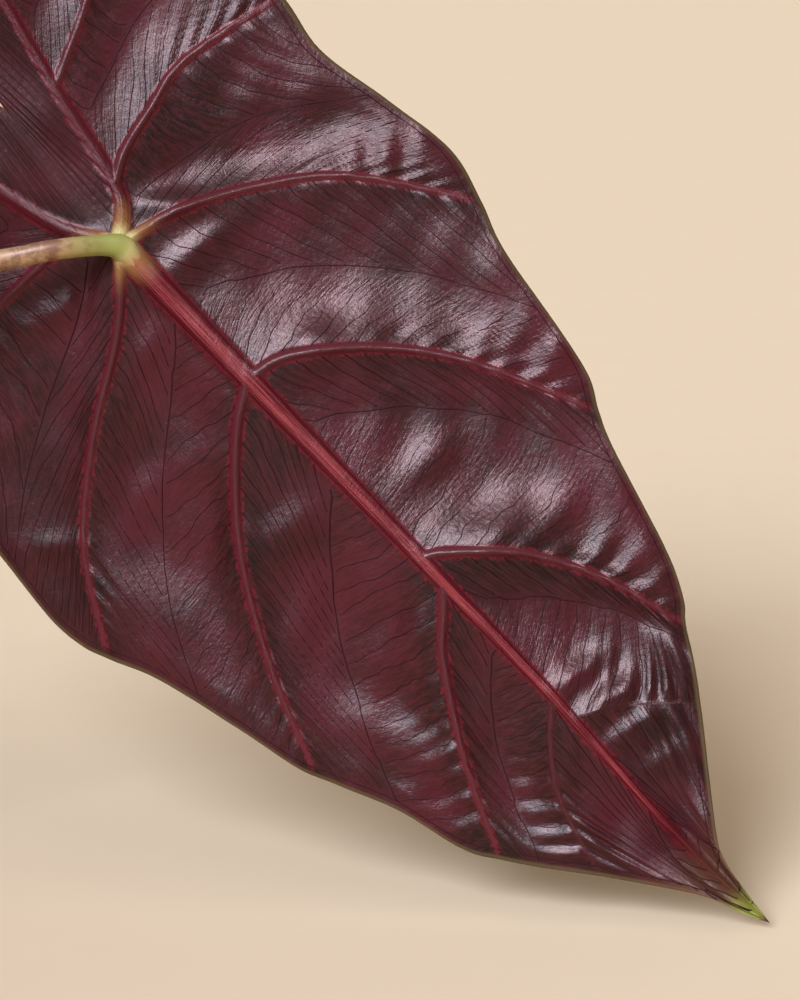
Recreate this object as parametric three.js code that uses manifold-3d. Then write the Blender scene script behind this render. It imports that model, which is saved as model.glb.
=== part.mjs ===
// Potted red vein alocasia: a plain pot, its soil, a short ringed stem, and six leaves,
// each a petiole and an arrow-shaped blade.
// Millimetres, +Z up. The origin is the middle of the pot's flat base, and the floor is Z = 0.
// The first leaf hangs down to the right with its underside towards -Y and its tip just over the floor.
import * as THREE from "three";
import Module from "manifold-3d";
import { mergeVertices } from "three/addons/utils/BufferGeometryUtils.js";

// Pot
const potHeight = 125;
const potRimRadius = 70;
const potRimDepth = 26;
const potRimStep = 4;
const potBaseRadius = 47;
const potWall = 6;
const potFloor = 8;
const potEdge = 2;
const potEdgeRound = 0.6;
const potRimFlare = 0.5;
const potShoulder = 6;
const potShoulderInset = 1.5;
const potSides = 64;

// Soil and stem
const fitGap = 0.3;
const soilTop = 110;
const soilSides = 40;
const soilWallGap = 0.4;
const soilLump = 1.3;
const soilLumpShift = 1.3;
const soilSmallLumps = 0.6;
const soilLumpLengths = [6.1, 5.3, 3.1, 3.7];
const soilCalmWall = 8;
const soilCalmStem = 4;
const soilRingShares = [1, 0.88, 0.74, 0.6, 0.46, 0.33];
const stemRadius = 20;
const stemBottom = 78;
const stemTop = 121;
const stemFootInset = 3;
const stemCollar = 4;
const stemRings = 4;
const stemRingShare = 0.7;
const stemRingInset = 0.4;
const stemRingStep = 0.6;
const stemTopEdge = 2.4;
const stemCrown = 2;
const stemSides = 28;
const socketDepth = 7;
const petioleRing = 11;

// Blade, at the size of the first leaf: u runs along the midrib to the tip, v out to the side
const bladeLength = 216;
const lobeLength = 92;
const bladeThickness = 0.9;
const midribSway = -1.5;
const midribSwayStart = 140;
const midribSwayBend = 1.5;
const midribHeight = 2.6;
const midribHalfWidth = 2.6;
const lobeRibHeight = 1.7;
const lateralHeight = 1.2;
const lateralHalfWidth = 2;
const grooveShare = 0.2;
const ribAtTip = 0.3;
const ribCrownReach = 8;
const midribTaper = 0.9;
const lobeRibTaper = 0.7;
const lateralTaper = 0.6;
const foldSoftness = 6;
const hollowDepth = 2.2;
const hollowShift = 1.1;
const hollowFullness = 0.8;
const fullStrip = 40;
const waveLength = 120;
const waveTurn = 57;
const slowWaveShare = 0.35;
const calmTip = 50;
const calmLobe = 30;
const fineSpacing = 11;
const plainSpacing = 17;
const marginSpacing = 0.7;
const widestFoot = 0.25;
const fineColumns = 7;
const plainColumns = 5;
const innerColumns = 4;
const cornersPerUnit = 2000;

// Petiole
const petioleBaseRadius = 4.3;
const petioleTipRadius = 2.35;
const petioleTaper = 1.6;
const petioleSizeShare = 0.45;
const petioleSides = 10;
const routedSteps = 22;
const archedSteps = 14;
const petioleSeatBend = 4.5;
const petioleLean = 6;
const petioleLift = 0.45;
const petioleArrival = 0.3;

// The blade's two halves as seen from below. Each lateral vein leaves the spine, which is the midrib ahead
// of the petiole and the lobe's own rib behind it, passes through its path and ends at a margin point.
// "from" is the distance along the midrib, or back along the lobe's rib where it is below zero.
const rightHalf = {
  lobeRib: [[0, 0], [-9.5, 8.4], [-34.5, 13.9], [-60, 20], [-lobeLength, 27]],
  sinus: [[-41, 2.5], [-50, 4], [-66, 10], [-82, 17], [-lobeLength, 27]],
  margin: [
    [-lobeLength, 27], [-87, 42], [-72, 56], [-50, 64.5], [-20, 67.8], [-2, 65.3], [17.5, 68.6], [36, 71.2],
    [49.4, 68.1], [61.6, 63.8], [82.6, 60.4], [96.2, 57.7], [104, 53.7], [113, 49.9], [138, 42.5],
    [149.2, 37.4], [154, 33.6], [168.3, 24], [191, 6.5], [198, 2.6], [206.6, 1.1], [bladeLength, 0],
  ],
  laterals: [
    { from: -71, path: [[-67, 32]], ends: 2, strength: 0.4 },
    { from: -48, path: [[-43, 27], [-51, 44]], ends: 3, strength: 0.6 },
    { from: -25, path: [[-15.2, 16], [-18.2, 26.6], [-21.3, 40.5]], ends: 4.1, strength: 1 },
    { from: 0, path: [[3.5, 15.6], [11.8, 33], [24.4, 49.7]], ends: 8, strength: 1 },
    { from: 42.5, path: [[45.4, 10.6], [58.3, 26.9], [75, 39.8]], ends: 12, strength: 1 },
    { from: 99.5, path: [[103.5, 5.9], [116.8, 18.8], [134, 28]], ends: 16, strength: 0.9 },
    { from: 150, path: [[157, 11]], ends: 17, strength: 0.2 },
  ],
};
const leftHalf = {
  lobeRib: [[0, 0], [-12.4, -7.3], [-28, -11.5], [-60, -18], [-lobeLength, -27]],
  sinus: [[-41, 2.5], [-50, 0], [-66, -8], [-82, -17], [-lobeLength, -27]],
  margin: [
    [-lobeLength, -27], [-87, -42], [-70, -57], [-46, -66.5], [-14, -69.5], [12, -69.8], [31.6, -70.7],
    [50, -72.4], [59.6, -71.6], [66.5, -69.1], [78.5, -63.6], [99.6, -58], [116, -54.3], [125.3, -50.2],
    [139, -44.1], [154.8, -39.9], [163.2, -35.1], [181.6, -20.8], [200.3, -7.1], [209.8, -3.2],
    [bladeLength, 0],
  ],
  laterals: [
    { from: -71, path: [[-67, -32]], ends: 2, strength: 0.4 },
    { from: -48, path: [[-36, -26], [-43, -46]], ends: 3, strength: 0.6 },
    { from: -16, path: [[-9.4, -15.2], [-9.8, -29.7], [-11, -50]], ends: 4, strength: 0.9 },
    { from: 0, path: [[13.6, -13.9], [27.6, -35.8], [44.4, -55.3]], ends: 9, strength: 1 },
    { from: 42.5, path: [[50.8, -11.8], [69.6, -28.8], [93.7, -42.4]], ends: 12.4, strength: 1 },
    { from: 107.5, path: [[113.7, -6], [120.4, -12.4], [140.7, -24.8]], ends: 16, strength: 0.9 },
    { from: 144, path: [[150.7, -7.4], [162.4, -15.3]], ends: 17, strength: 0.4 },
  ],
};

// Leaves. A blade's midrib points "tipward" and its lower face looks along "underside". "fold" is the slope
// at which the halves fall back from the midrib, and the arches bow the blade's two ends towards its
// underside. A hanging leaf faces up and out: its azimuth and dip say where the tip points.
const viewRise = THREE.MathUtils.degToRad(12);
const leaves = [
  {
    name: "leaf_1",
    size: 1,
    attach: [150, 60, 154.5],
    tipward: [0.69, -0.15, -0.704],
    underside: [0, -Math.cos(viewRise), Math.sin(viewRise)],
    fold: 0.2,
    tipArch: 0,
    lobeArch: 9,
    wave: 2.2,
    waveShift: 0,
    spacing: fineSpacing,
    baseAzimuth: 20,
    route: [[13, 4.5, 128], [40, 16, 143], [84, 33, 149], [121, 45, 152.5], [136, 49.5, 154.8]],
  },
  hanging({
    name: "leaf_2", size: 0.93, azimuth: 92, reach: 78,
    height: 285, dip: 48, roll: 8, baseAzimuth: 80,
  }),
  hanging({
    name: "leaf_3", size: 0.84, azimuth: 146, reach: 92,
    height: 236, dip: 40, roll: -10, baseAzimuth: 140,
  }),
  hanging({
    name: "leaf_4", size: 0.9, azimuth: 196, reach: 80,
    height: 298, dip: 52, roll: 6, baseAzimuth: 200,
  }),
  hanging({
    name: "leaf_5", size: 0.78, azimuth: 240, reach: 98,
    height: 216, dip: 38, roll: 12, baseAzimuth: 260,
  }),
  hanging({
    name: "leaf_6", size: 0.66, azimuth: 300, reach: 44,
    height: 336, dip: 50, roll: -6, baseAzimuth: 320,
  }),
];

function hanging({ azimuth, reach, height, dip, roll, ...rest }) {
  const out = directionAt(azimuth);
  const slope = THREE.MathUtils.degToRad(dip);
  const tipward = out.clone().multiplyScalar(Math.cos(slope)).setZ(-Math.sin(slope));
  const underside = out.clone().multiplyScalar(-Math.sin(slope)).setZ(-Math.cos(slope));
  underside.applyAxisAngle(tipward, THREE.MathUtils.degToRad(roll));
  const attach = out.clone().multiplyScalar(reach).setZ(height);
  return {
    attach: attach.toArray(),
    tipward: tipward.toArray(),
    underside: underside.toArray(),
    fold: 0.16,
    tipArch: 26,
    lobeArch: 12,
    wave: 4,
    waveShift: azimuth / waveTurn,
    spacing: plainSpacing,
    ...rest,
  };
}

function directionAt(azimuth) {
  const angle = THREE.MathUtils.degToRad(azimuth);
  return new THREE.Vector3(Math.cos(angle), Math.sin(angle), 0);
}

// Flat form of a blade

function splineThrough(points) {
  const knots = points.map(([u, v]) => new THREE.Vector3(u, v, 0));
  return new THREE.CatmullRomCurve3(knots, false, "catmullrom", 0.5);
}

function midribSide(u) {
  const along = Math.max(0, (u - midribSwayStart) / (bladeLength - midribSwayStart));
  return midribSway * Math.sin(Math.PI * Math.min(1, along) ** midribSwayBend);
}

function makeHalf({ lobeRib, sinus, margin, laterals }) {
  const lobeCurve = splineThrough(lobeRib);
  const marginCurve = splineThrough(margin);
  const sinusCurve = splineThrough(sinus);
  const last = margin.length - 1;

  const spineAt = (s) =>
    s < 0 ? lobeCurve.getPoint(-s / lobeLength) : new THREE.Vector3(s, midribSide(s), 0);
  const marginAt = (knot) => marginCurve.getPoint(knot / last);

  // Veins in order from the lobe's tip to the blade's tip, where they shrink to a point
  const veins = laterals.map(({ from, path, ends, strength }) => {
    const start = spineAt(from);
    const end = marginAt(ends);
    const curve = splineThrough([[start.x, start.y], ...path, [end.x, end.y]]);
    return { from, ends, strength, at: (a) => curve.getPointAt(a) };
  });
  const lobeTip = marginAt(0);
  const bladeTip = marginAt(last);
  veins.unshift({ from: -lobeLength, ends: 0, strength: 0, at: () => lobeTip.clone() });
  veins.push({ from: bladeLength, ends: last, strength: 0, at: () => bladeTip.clone() });

  // A strip between two veins is blended from its four edges
  const stripAt = (s) => {
    let strip = 0;
    while (strip < veins.length - 2 && s > veins[strip + 1].from) strip += 1;
    const [low, high] = [veins[strip], veins[strip + 1]];
    return { low, high, b: (s - low.from) / (high.from - low.from) };
  };
  const outerPoint = (s, a) => {
    const { low, high, b } = stripAt(s);
    const edge = marginAt(low.ends + b * (high.ends - low.ends));
    const acrossVeins = low.at(a).lerp(high.at(a), b);
    const alongVeins = spineAt(s).lerp(edge, a);
    const spineCorner = spineAt(low.from).lerp(spineAt(high.from), b);
    const marginCorner = marginAt(low.ends).lerp(marginAt(high.ends), b);
    return acrossVeins.add(alongVeins).sub(spineCorner.lerp(marginCorner, a));
  };

  // The strip behind the petiole, from the lobe's rib in to the sinus
  const sinusApex = sinusCurve.getPoint(0);
  const innerPoint = (s, a) => {
    const b = -s / lobeLength;
    const seam = sinusApex.clone().multiplyScalar(a);
    const acrossVeins = seam.clone().lerp(lobeTip, b);
    const alongVeins = spineAt(s).lerp(sinusCurve.getPoint(b), a);
    const spineCorner = new THREE.Vector3().lerp(lobeTip, b);
    const marginCorner = sinusApex.clone().lerp(lobeTip, b);
    return acrossVeins.add(alongVeins).sub(spineCorner.lerp(marginCorner, a));
  };
  return { veins, stripAt, outerPoint, innerPoint };
}

// Relief of a blade: heights towards the underside, without its thickness

function bladeRelief(leaf, u, v) {
  const away = Math.abs(v - midribSide(Math.max(0, u)));
  const fold = -leaf.fold * (Math.hypot(away, foldSoftness) - foldSoftness);
  const arch = u > 0 ? leaf.tipArch * (u / bladeLength) ** 2 : leaf.lobeArch * (u / lobeLength) ** 2;
  return fold + arch;
}

function outerRelief(leaf, half, s, a, point) {
  const { low, high, b } = half.stripAt(s);
  const between = Math.sin(Math.PI * b);
  const width = Math.min(1, (high.from - low.from) / fullStrip);
  const outward = Math.sin(Math.PI * Math.min(1, a * hollowShift)) ** hollowFullness;
  const hollow = -hollowDepth * width * between * outward;
  const slowWave = slowWaveShare * Math.sin((2 * Math.PI * s) / waveLength + leaf.waveShift);
  const ends = Math.min(1, (bladeLength - s) / calmTip, (s + lobeLength) / calmLobe);
  const wave = leaf.wave * a ** 3 * (width * between - 0.5 + slowWave) * Math.max(0, ends);
  return bladeRelief(leaf, point.x, point.y) + hollow + wave;
}

function spineRib(s) {
  if (s >= 0) return ribAtTip + (midribHeight - ribAtTip) * (1 - s / bladeLength) ** midribTaper;
  const crown = (midribHeight - lobeRibHeight) * Math.exp(s / ribCrownReach);
  return lobeRibHeight * (1 + s / lobeLength) ** lobeRibTaper + crown;
}

function ribAt(half, s, a, column) {
  if (column === 0) return spineRib(s);
  const vein = half.veins.find(({ from }) => Math.abs(from - s) < 1e-6);
  return vein ? lateralHeight * vein.strength * (1 - a) ** lateralTaper : 0;
}

// Stations along a spine: one on each vein of either half, one at each foot of its ridge where the leaf is
// finely made, and even steps in between, as long as the margin needs them where the veins fan out
function stationsBetween(start, end, halves, leaf) {
  const veins = halves.flatMap((half) => half.veins.map(({ from }) => from));
  const marks = new Set([start, end]);
  for (const from of veins) {
    const ridge = [from - lateralHalfWidth, from, from + lateralHalfWidth];
    const feet = leaf.spacing === fineSpacing ? ridge : [from];
    feet.filter((s) => s > start && s < end).forEach((s) => marks.add(s));
  }
  const sorted = [...marks].sort((p, q) => p - q);
  return sorted.flatMap((mark, k) => {
    if (k === sorted.length - 1) return [mark];
    const next = sorted[k + 1];
    const marginSpans = halves.map((half) => half.outerPoint(mark, 1).distanceTo(half.outerPoint(next, 1)));
    const span = Math.max(next - mark, marginSpacing * Math.max(...marginSpans));
    const steps = Math.max(1, Math.round(span / leaf.spacing));
    return Array.from({ length: steps }, (_, i) => mark + ((next - mark) * i) / steps);
  });
}

// Columns from the spine to the edge: the ridge's crest, its foot, then even steps
function columnsFor(length, count) {
  const foot = Math.min(widestFoot, midribHalfWidth / Math.max(1, length));
  const even = Array.from({ length: count }, (_, i) => THREE.MathUtils.lerp(foot, 1, i / (count - 1)));
  return [0, ...even];
}

// Closed solids

function solidGeometry(points, triangles) {
  const positions = points.flatMap((p) => [p.x, p.y, p.z]);
  const geometry = new THREE.BufferGeometry();
  geometry.setAttribute("position", new THREE.Float32BufferAttribute(positions, 3));
  geometry.setIndex(triangles.flat());
  return geometry;
}

// One sheet of triangles with shared corners, built from grids that meet along their edges
class Sheet {
  constructor() {
    this.rows = [];
    this.triangles = [];
    this.known = new Map();
  }

  corner(row) {
    const key = [row.u, row.v].map((x) => Math.round(x * cornersPerUnit)).join(" ");
    if (!this.known.has(key)) {
      this.known.set(key, this.rows.length);
      this.rows.push(row);
    }
    return this.known.get(key);
  }

  addGrid(grid, faceUp) {
    const ids = grid.map((line) => line.map((row) => this.corner(row)));
    for (let i = 0; i + 1 < ids.length; i += 1) {
      for (let j = 0; j + 1 < ids[i].length; j += 1) {
        const [p, q, r, t] = [ids[i][j], ids[i + 1][j], ids[i + 1][j + 1], ids[i][j + 1]];
        const cut = (i + j) % 2 ? [[p, q, r], [p, r, t]] : [[p, q, t], [q, r, t]];
        for (const [x, y, z] of cut) {
          if (x !== y && y !== z && z !== x) this.triangles.push(faceUp ? [x, y, z] : [x, z, y]);
        }
      }
    }
  }

  // Both faces, split alike, and a rim along every open edge
  thicken(place, top, bottom) {
    const count = this.rows.length;
    const points = [
      ...this.rows.map((row) => place(row.u, row.v, top(row))),
      ...this.rows.map((row) => place(row.u, row.v, bottom(row))),
    ];
    const edges = new Set(this.triangles.flatMap(([x, y, z]) => [`${x} ${y}`, `${y} ${z}`, `${z} ${x}`]));
    const triangles = this.triangles.flatMap(([x, y, z]) => [[x, y, z], [x + count, z + count, y + count]]);
    for (const edge of edges) {
      const [x, y] = edge.split(" ").map(Number);
      if (!edges.has(`${y} ${x}`)) triangles.push([y, x, x + count], [y, x + count, y + count]);
    }
    return solidGeometry(points, triangles);
  }
}

function leafAxes(leaf) {
  const facing = new THREE.Vector3(...leaf.underside).normalize();
  const tipward = new THREE.Vector3(...leaf.tipward);
  tipward.addScaledVector(facing, -tipward.dot(facing)).normalize();
  const sideways = new THREE.Vector3().crossVectors(facing, tipward);
  return { tipward, sideways, facing };
}

function bladeGeometry(leaf) {
  const halves = [makeHalf(rightHalf), makeHalf(leftHalf)];
  const sheet = new Sheet();
  const outerColumns = leaf.spacing === fineSpacing ? fineColumns : plainColumns;
  halves.forEach((half, side) => {
    const outerStations = [
      ...stationsBetween(-lobeLength, 0, [half], leaf),
      ...stationsBetween(0, bladeLength, halves, leaf).slice(1),
    ];
    const outer = outerStations.map((s) => {
      const reach = half.outerPoint(s, 1).distanceTo(half.outerPoint(s, 0));
      return columnsFor(reach, outerColumns).map((a, column) => {
        const point = half.outerPoint(s, a);
        const height = outerRelief(leaf, half, s, a, point);
        return { u: point.x, v: point.y, height, rib: ribAt(half, s, a, column) };
      });
    });
    const inner = stationsBetween(-lobeLength, 0, [half], leaf).map((s) => {
      const reach = half.innerPoint(s, 1).distanceTo(half.innerPoint(s, 0));
      return columnsFor(reach, innerColumns).map((a, column) => {
        const point = half.innerPoint(s, a);
        const height = bladeRelief(leaf, point.x, point.y);
        return { u: point.x, v: point.y, height, rib: column === 0 ? spineRib(s) : 0 };
      });
    });
    sheet.addGrid(outer, side === 0);
    sheet.addGrid(inner, side === 1);
  });

  const { tipward, sideways, facing } = leafAxes(leaf);
  const attach = new THREE.Vector3(...leaf.attach);
  const place = (u, v, w) =>
    attach
      .clone()
      .addScaledVector(tipward, u * leaf.size)
      .addScaledVector(sideways, v * leaf.size)
      .addScaledVector(facing, w);
  const lower = ({ height, rib }) => (height + rib) * leaf.size + bladeThickness / 2;
  const upper = ({ height, rib }) => (height + rib * grooveShare) * leaf.size - bladeThickness / 2;
  return sheet.thicken(place, lower, upper);
}

// A rod of changing radius along a curve, closed at both ends
function rodGeometry(curve, steps, sides, radiusAt) {
  const { normals, binormals } = curve.computeFrenetFrames(steps, false);
  const points = [];
  const triangles = [];
  for (let i = 0; i <= steps; i += 1) {
    const centre = curve.getPointAt(i / steps);
    for (let k = 0; k < sides; k += 1) {
      const angle = (2 * Math.PI * k) / sides;
      const radius = radiusAt(i / steps);
      points.push(
        centre
          .clone()
          .addScaledVector(normals[i], radius * Math.cos(angle))
          .addScaledVector(binormals[i], radius * Math.sin(angle)),
      );
    }
  }
  const [start, end] = [points.length, points.length + 1];
  points.push(curve.getPointAt(0), curve.getPointAt(1));
  const ring = (i, k) => i * sides + (k % sides);
  for (let k = 0; k < sides; k += 1) {
    for (let i = 0; i < steps; i += 1) {
      triangles.push([ring(i, k), ring(i, k + 1), ring(i + 1, k)]);
      triangles.push([ring(i, k + 1), ring(i + 1, k + 1), ring(i + 1, k)]);
    }
    triangles.push([start, ring(0, k + 1), ring(0, k)], [end, ring(steps, k), ring(steps, k + 1)]);
  }
  return solidGeometry(points, triangles);
}

// A petiole leaves its socket in the stem, and ends square on the blade's underside
function petioleCurve(leaf) {
  const { facing } = leafAxes(leaf);
  const base = directionAt(leaf.baseAzimuth).multiplyScalar(petioleRing).setZ(stemTop - socketDepth);
  const seat = midribHeight * leaf.size + bladeThickness / 2 + fitGap;
  const end = new THREE.Vector3(...leaf.attach).addScaledVector(facing, seat);
  const bend = end.clone().addScaledVector(facing, petioleSeatBend);
  if (leaf.route) {
    const knots = leaf.route.map((knot) => new THREE.Vector3(...knot));
    return new THREE.CatmullRomCurve3([base, ...knots, bend, end]);
  }
  const rise = end.z - base.z;
  const lift = base.clone().addScaledVector(directionAt(leaf.baseAzimuth), petioleLean);
  lift.setZ(base.z + petioleLift * rise);
  const arrive = end.clone().addScaledVector(facing, petioleArrival * rise);
  return new THREE.CubicBezierCurve3(base, lift, arrive, end);
}

function petioleRadius(leaf, t) {
  const slim = petioleTipRadius * (1 - petioleSizeShare + petioleSizeShare * leaf.size);
  return slim + (petioleBaseRadius - slim) * (1 - t) ** petioleTaper;
}

function petioleGeometry(leaf, allowance = 0) {
  const steps = leaf.route ? routedSteps : archedSteps;
  return rodGeometry(petioleCurve(leaf), steps, petioleSides, (t) => petioleRadius(leaf, t) + allowance);
}

// Pot, soil and stem

function turned(profile, sides) {
  const outline = profile.map(([r, z]) => new THREE.Vector2(r, z));
  return new THREE.LatheGeometry(outline, sides).rotateX(Math.PI / 2);
}

function potInnerRadius(z) {
  const bottom = potBaseRadius - potWall;
  const top = potRimRadius - potWall;
  return bottom + ((top - bottom) * (z - potFloor)) / (potHeight - potFloor);
}

function potGeometry() {
  const rimFoot = potHeight - potRimDepth;
  const neck = potRimRadius - potRimStep;
  return turned(
    [
      [0, 0],
      [potBaseRadius - potEdge, 0],
      [potBaseRadius, potEdge],
      [neck - potShoulderInset, rimFoot - potShoulder],
      [neck, rimFoot],
      [potRimRadius - potEdge, rimFoot],
      [potRimRadius - potRimFlare, rimFoot + potEdge],
      [potRimRadius, potHeight - potEdge],
      [potRimRadius - potEdgeRound, potHeight - potEdgeRound],
      [potRimRadius - potEdge, potHeight],
      [potInnerRadius(potHeight) + potEdge, potHeight],
      [potInnerRadius(potHeight - potEdge), potHeight - potEdge],
      [potInnerRadius(potFloor), potFloor],
      [0, potFloor],
    ],
    potSides,
  );
}

function soilLumps(x, y) {
  const [wideX, wideY, smallX, smallY] = soilLumpLengths;
  const wide = Math.sin(x / wideX + soilLumpShift) * Math.cos(y / wideY);
  return soilLump * (wide + soilSmallLumps * Math.sin(x / smallX - y / smallY));
}

function soilGeometry() {
  const bottom = potFloor + fitGap;
  const hole = stemRadius + fitGap;
  const wall = potInnerRadius(soilTop) - soilWallGap;
  const rings = soilRingShares.map((share) => share * wall).filter((r) => r > hole + 2);
  const geometry = turned(
    [
      [0, bottom],
      [potInnerRadius(bottom) - soilWallGap, bottom],
      ...rings.map((r) => [r, soilTop]),
      [hole, soilTop + 1],
      [hole, stemBottom - fitGap],
      [0, stemBottom - fitGap],
    ],
    soilSides,
  );
  const place = geometry.getAttribute("position");
  for (let i = 0; i < place.count; i += 1) {
    const [x, y, z] = [place.getX(i), place.getY(i), place.getZ(i)];
    const r = Math.hypot(x, y);
    const free = Math.min(1, (wall - r) / soilCalmWall, (r - hole) / soilCalmStem);
    if (z > soilTop - 1 && free > 0) place.setZ(i, z + soilLumps(x, y) * free);
  }
  return geometry;
}

function stemGeometry() {
  const profile = [[0, stemBottom], [stemRadius - stemFootInset, stemBottom]];
  profile.push([stemRadius, stemBottom + stemCollar]);
  const collar = stemTop - soilTop + stemCollar;
  for (let ring = 0; ring < stemRings; ring += 1) {
    const low = soilTop - stemCollar + (collar * ring) / stemRings;
    const wide = stemRadius - stemRingInset - (ring / stemRings) ** 2;
    profile.push([wide, low], [wide - stemRingStep, low + (stemRingShare * collar) / stemRings]);
  }
  profile.push([stemRadius - stemTopEdge, stemTop - stemRingStep]);
  profile.push([petioleRing + petioleBaseRadius - stemCrown, stemTop], [0, stemTop + 1]);
  return turned(profile, stemSides);
}

// Cutting

const wasm = await Module();
wasm.setup();

function toSolid(geometry) {
  const bare = new THREE.BufferGeometry().setAttribute("position", geometry.getAttribute("position"));
  bare.setIndex(geometry.index);
  const merged = mergeVertices(bare, 1e-3);
  return new wasm.Manifold(
    new wasm.Mesh({
      numProp: 3,
      vertProperties: merged.getAttribute("position").array,
      triVerts: new Uint32Array(merged.index.array),
    }),
  );
}

function cutAway(geometry, cutters) {
  const cut = cutters.reduce((body, cutter) => body.subtract(toSolid(cutter)), toSolid(geometry));
  const { vertProperties, triVerts } = cut.getMesh();
  const result = new THREE.BufferGeometry();
  result.setAttribute("position", new THREE.BufferAttribute(vertProperties, 3));
  result.setIndex(new THREE.BufferAttribute(triVerts, 1));
  return result;
}

// A socket is the petiole's own shape, wider by the fitting gap, and once more that much lower
function socketsFor(leaf) {
  const wide = petioleGeometry(leaf, 2 * fitGap);
  return [wide, wide.clone().translate(0, 0, -fitGap)];
}

// Materials
const terracotta = new THREE.MeshStandardMaterial({ color: 0xb5714f, roughness: 0.85, metalness: 0 });
const darkSoil = new THREE.MeshStandardMaterial({ color: 0x2c211a, roughness: 1, metalness: 0 });
const ringedStem = new THREE.MeshStandardMaterial({ color: 0x6b5238, roughness: 0.8, metalness: 0 });
const burgundyBlade = new THREE.MeshStandardMaterial({ color: 0x48232a, roughness: 0.4, metalness: 0 });
const mottledPetiole = new THREE.MeshStandardMaterial({ color: 0xbe966e, roughness: 0.5, metalness: 0 });

const plant = new THREE.Group();

function addPiece(name, geometry, material) {
  const mesh = new THREE.Mesh(geometry, material);
  mesh.name = name;
  plant.add(mesh);
}

addPiece("pot", potGeometry(), terracotta);
addPiece("soil", soilGeometry(), darkSoil);
addPiece("stem", cutAway(stemGeometry(), leaves.flatMap(socketsFor)), ringedStem);
for (const leaf of leaves) {
  addPiece(`${leaf.name}_petiole`, petioleGeometry(leaf), mottledPetiole);
  addPiece(`${leaf.name}_blade`, bladeGeometry(leaf), burgundyBlade);
}

export default plant;
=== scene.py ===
"""Looks of the potted red vein alocasia: blades with their veins, petioles, ringed stem, soil and pot.

Sizes are in millimetres until a mesh is written. A blade is drawn flat first, u along its midrib to the tip
and v out to the side, then raised w towards its underside, and last placed on its petiole.
"""

import functools
import math

import bmesh
import bpy
import numpy as np
from mathutils import Matrix, Vector


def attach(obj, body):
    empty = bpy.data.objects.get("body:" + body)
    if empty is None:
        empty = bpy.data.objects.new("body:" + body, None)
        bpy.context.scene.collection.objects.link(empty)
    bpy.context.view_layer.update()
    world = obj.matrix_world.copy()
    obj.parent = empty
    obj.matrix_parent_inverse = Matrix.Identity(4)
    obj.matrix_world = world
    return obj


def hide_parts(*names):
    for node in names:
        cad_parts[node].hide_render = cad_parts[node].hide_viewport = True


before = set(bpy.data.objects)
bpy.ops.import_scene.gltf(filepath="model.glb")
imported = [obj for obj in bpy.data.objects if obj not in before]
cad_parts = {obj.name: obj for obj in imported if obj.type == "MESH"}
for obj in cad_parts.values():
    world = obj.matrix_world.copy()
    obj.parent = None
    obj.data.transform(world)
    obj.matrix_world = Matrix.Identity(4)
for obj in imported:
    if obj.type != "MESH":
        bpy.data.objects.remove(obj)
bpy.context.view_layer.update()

MM = 0.001

# Pot, soil and stem
POT_HEIGHT = 125
POT_RIM_RADIUS = 70
POT_RIM_DEPTH = 26
POT_RIM_STEP = 4
POT_RIM_FLARE = 0.5
POT_BASE_RADIUS = 47
POT_WALL = 6
POT_FLOOR = 8
POT_EDGE = 2
POT_EDGE_ROUND = 0.6
POT_SHOULDER = 6
POT_SHOULDER_INSET = 1.5
POT_CORNER_RADIUS = 1.6
POT_SIDES = 112
SOIL_TOP = 110
SOIL_WALL_GAP = 0.4
SOIL_LUMP = 1.3
SOIL_LUMP_SHIFT = 1.3
SOIL_LUMP_LENGTHS = (6.1, 5.3, 3.1, 3.7)
SOIL_SMALL_LUMPS = 0.6
SOIL_CRUMBS = ((0.4, 5, 5, 7), (0.3, 6, 2.4, 11))
SOIL_CALM_WALL = 8
SOIL_CALM_STEM = 4
SOIL_SIDES = 120
SOIL_RINGS = 40
HOLE_EDGE = 0.6
STEM_RADIUS = 20
STEM_BOTTOM = 78
STEM_TOP = 121
STEM_RINGS = 4
STEM_RING_PARTS = 8
STEM_RING_INSET = 0.4
STEM_RING_STEP = 0.6
STEM_RING_SHARE = 0.7
STEM_COLLAR = 4
STEM_FOOT_INSET = 3
STEM_TOP_EDGE = 2.4
STEM_CROWN = 1
STEM_CROWN_DROP = 1.6
STEM_CROWN_RINGS = 24
STEM_DENT_SPREAD = 14
STEM_DENTS_IN = 0.012
STEM_DENTS_UP = 0.15
STEM_CROWN_DENTS = 0.2
STEM_SIDES = 96
SHEATH_RISE = 1.7
SHEATH_WIDTH = 1.5
SOCKET_DEPTH = 7
PETIOLE_RING = 11
FIT_GAP = 0.3

# The map of a blade: the room round it, and how far it reaches to one side
MAP_MARGIN = 4
MAP_HALF_WIDTH = 76
MAP_SHARE = 0.98
MAP_INSET = 0.005

# Grains on the soil
STEM_MARGIN = 3
WALL_MARGIN = 4
GRAIN_LIFT = 0.2
BED_RINGS = 24
BED_SIDES = 60
PER_CM2 = 1e4
FULL_TURN = 6.28

# Blade at the size of the first leaf
BLADE_LENGTH = 216
LOBE_LENGTH = 92
BLADE_THICKNESS = 0.8
MARGIN_THICKNESS_SHARE = 0.55
MIDRIB_SWAY = -1.5
MIDRIB_SWAY_START = 140
MIDRIB_HALF_WIDTH = 2.9
MIDRIB_HEIGHT = 2.6
MIDRIB_TAPER = 0.85
LOBE_RIB_HALF_WIDTH = 1.75
LOBE_RIB_TAPER = 0.8
RIB_AT_TIP = 0.2
LATERAL_HALF_WIDTH = 1.15
LATERAL_TAPER = 0.6
LATERAL_AT_MARGIN = 0.14
LATERAL_STEEPNESS = 1.3
LATERAL_LEAST_SHARE = 0.35
LATERAL_LAST_SHARE = 0.97
LATERAL_SINK = 0.12
MIDRIB_RANK = 1.0
LOBE_RIB_RANK = 0.75
LATERAL_RANK = 0.5
RIB_CROWN_SHARE = 0.72
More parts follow.
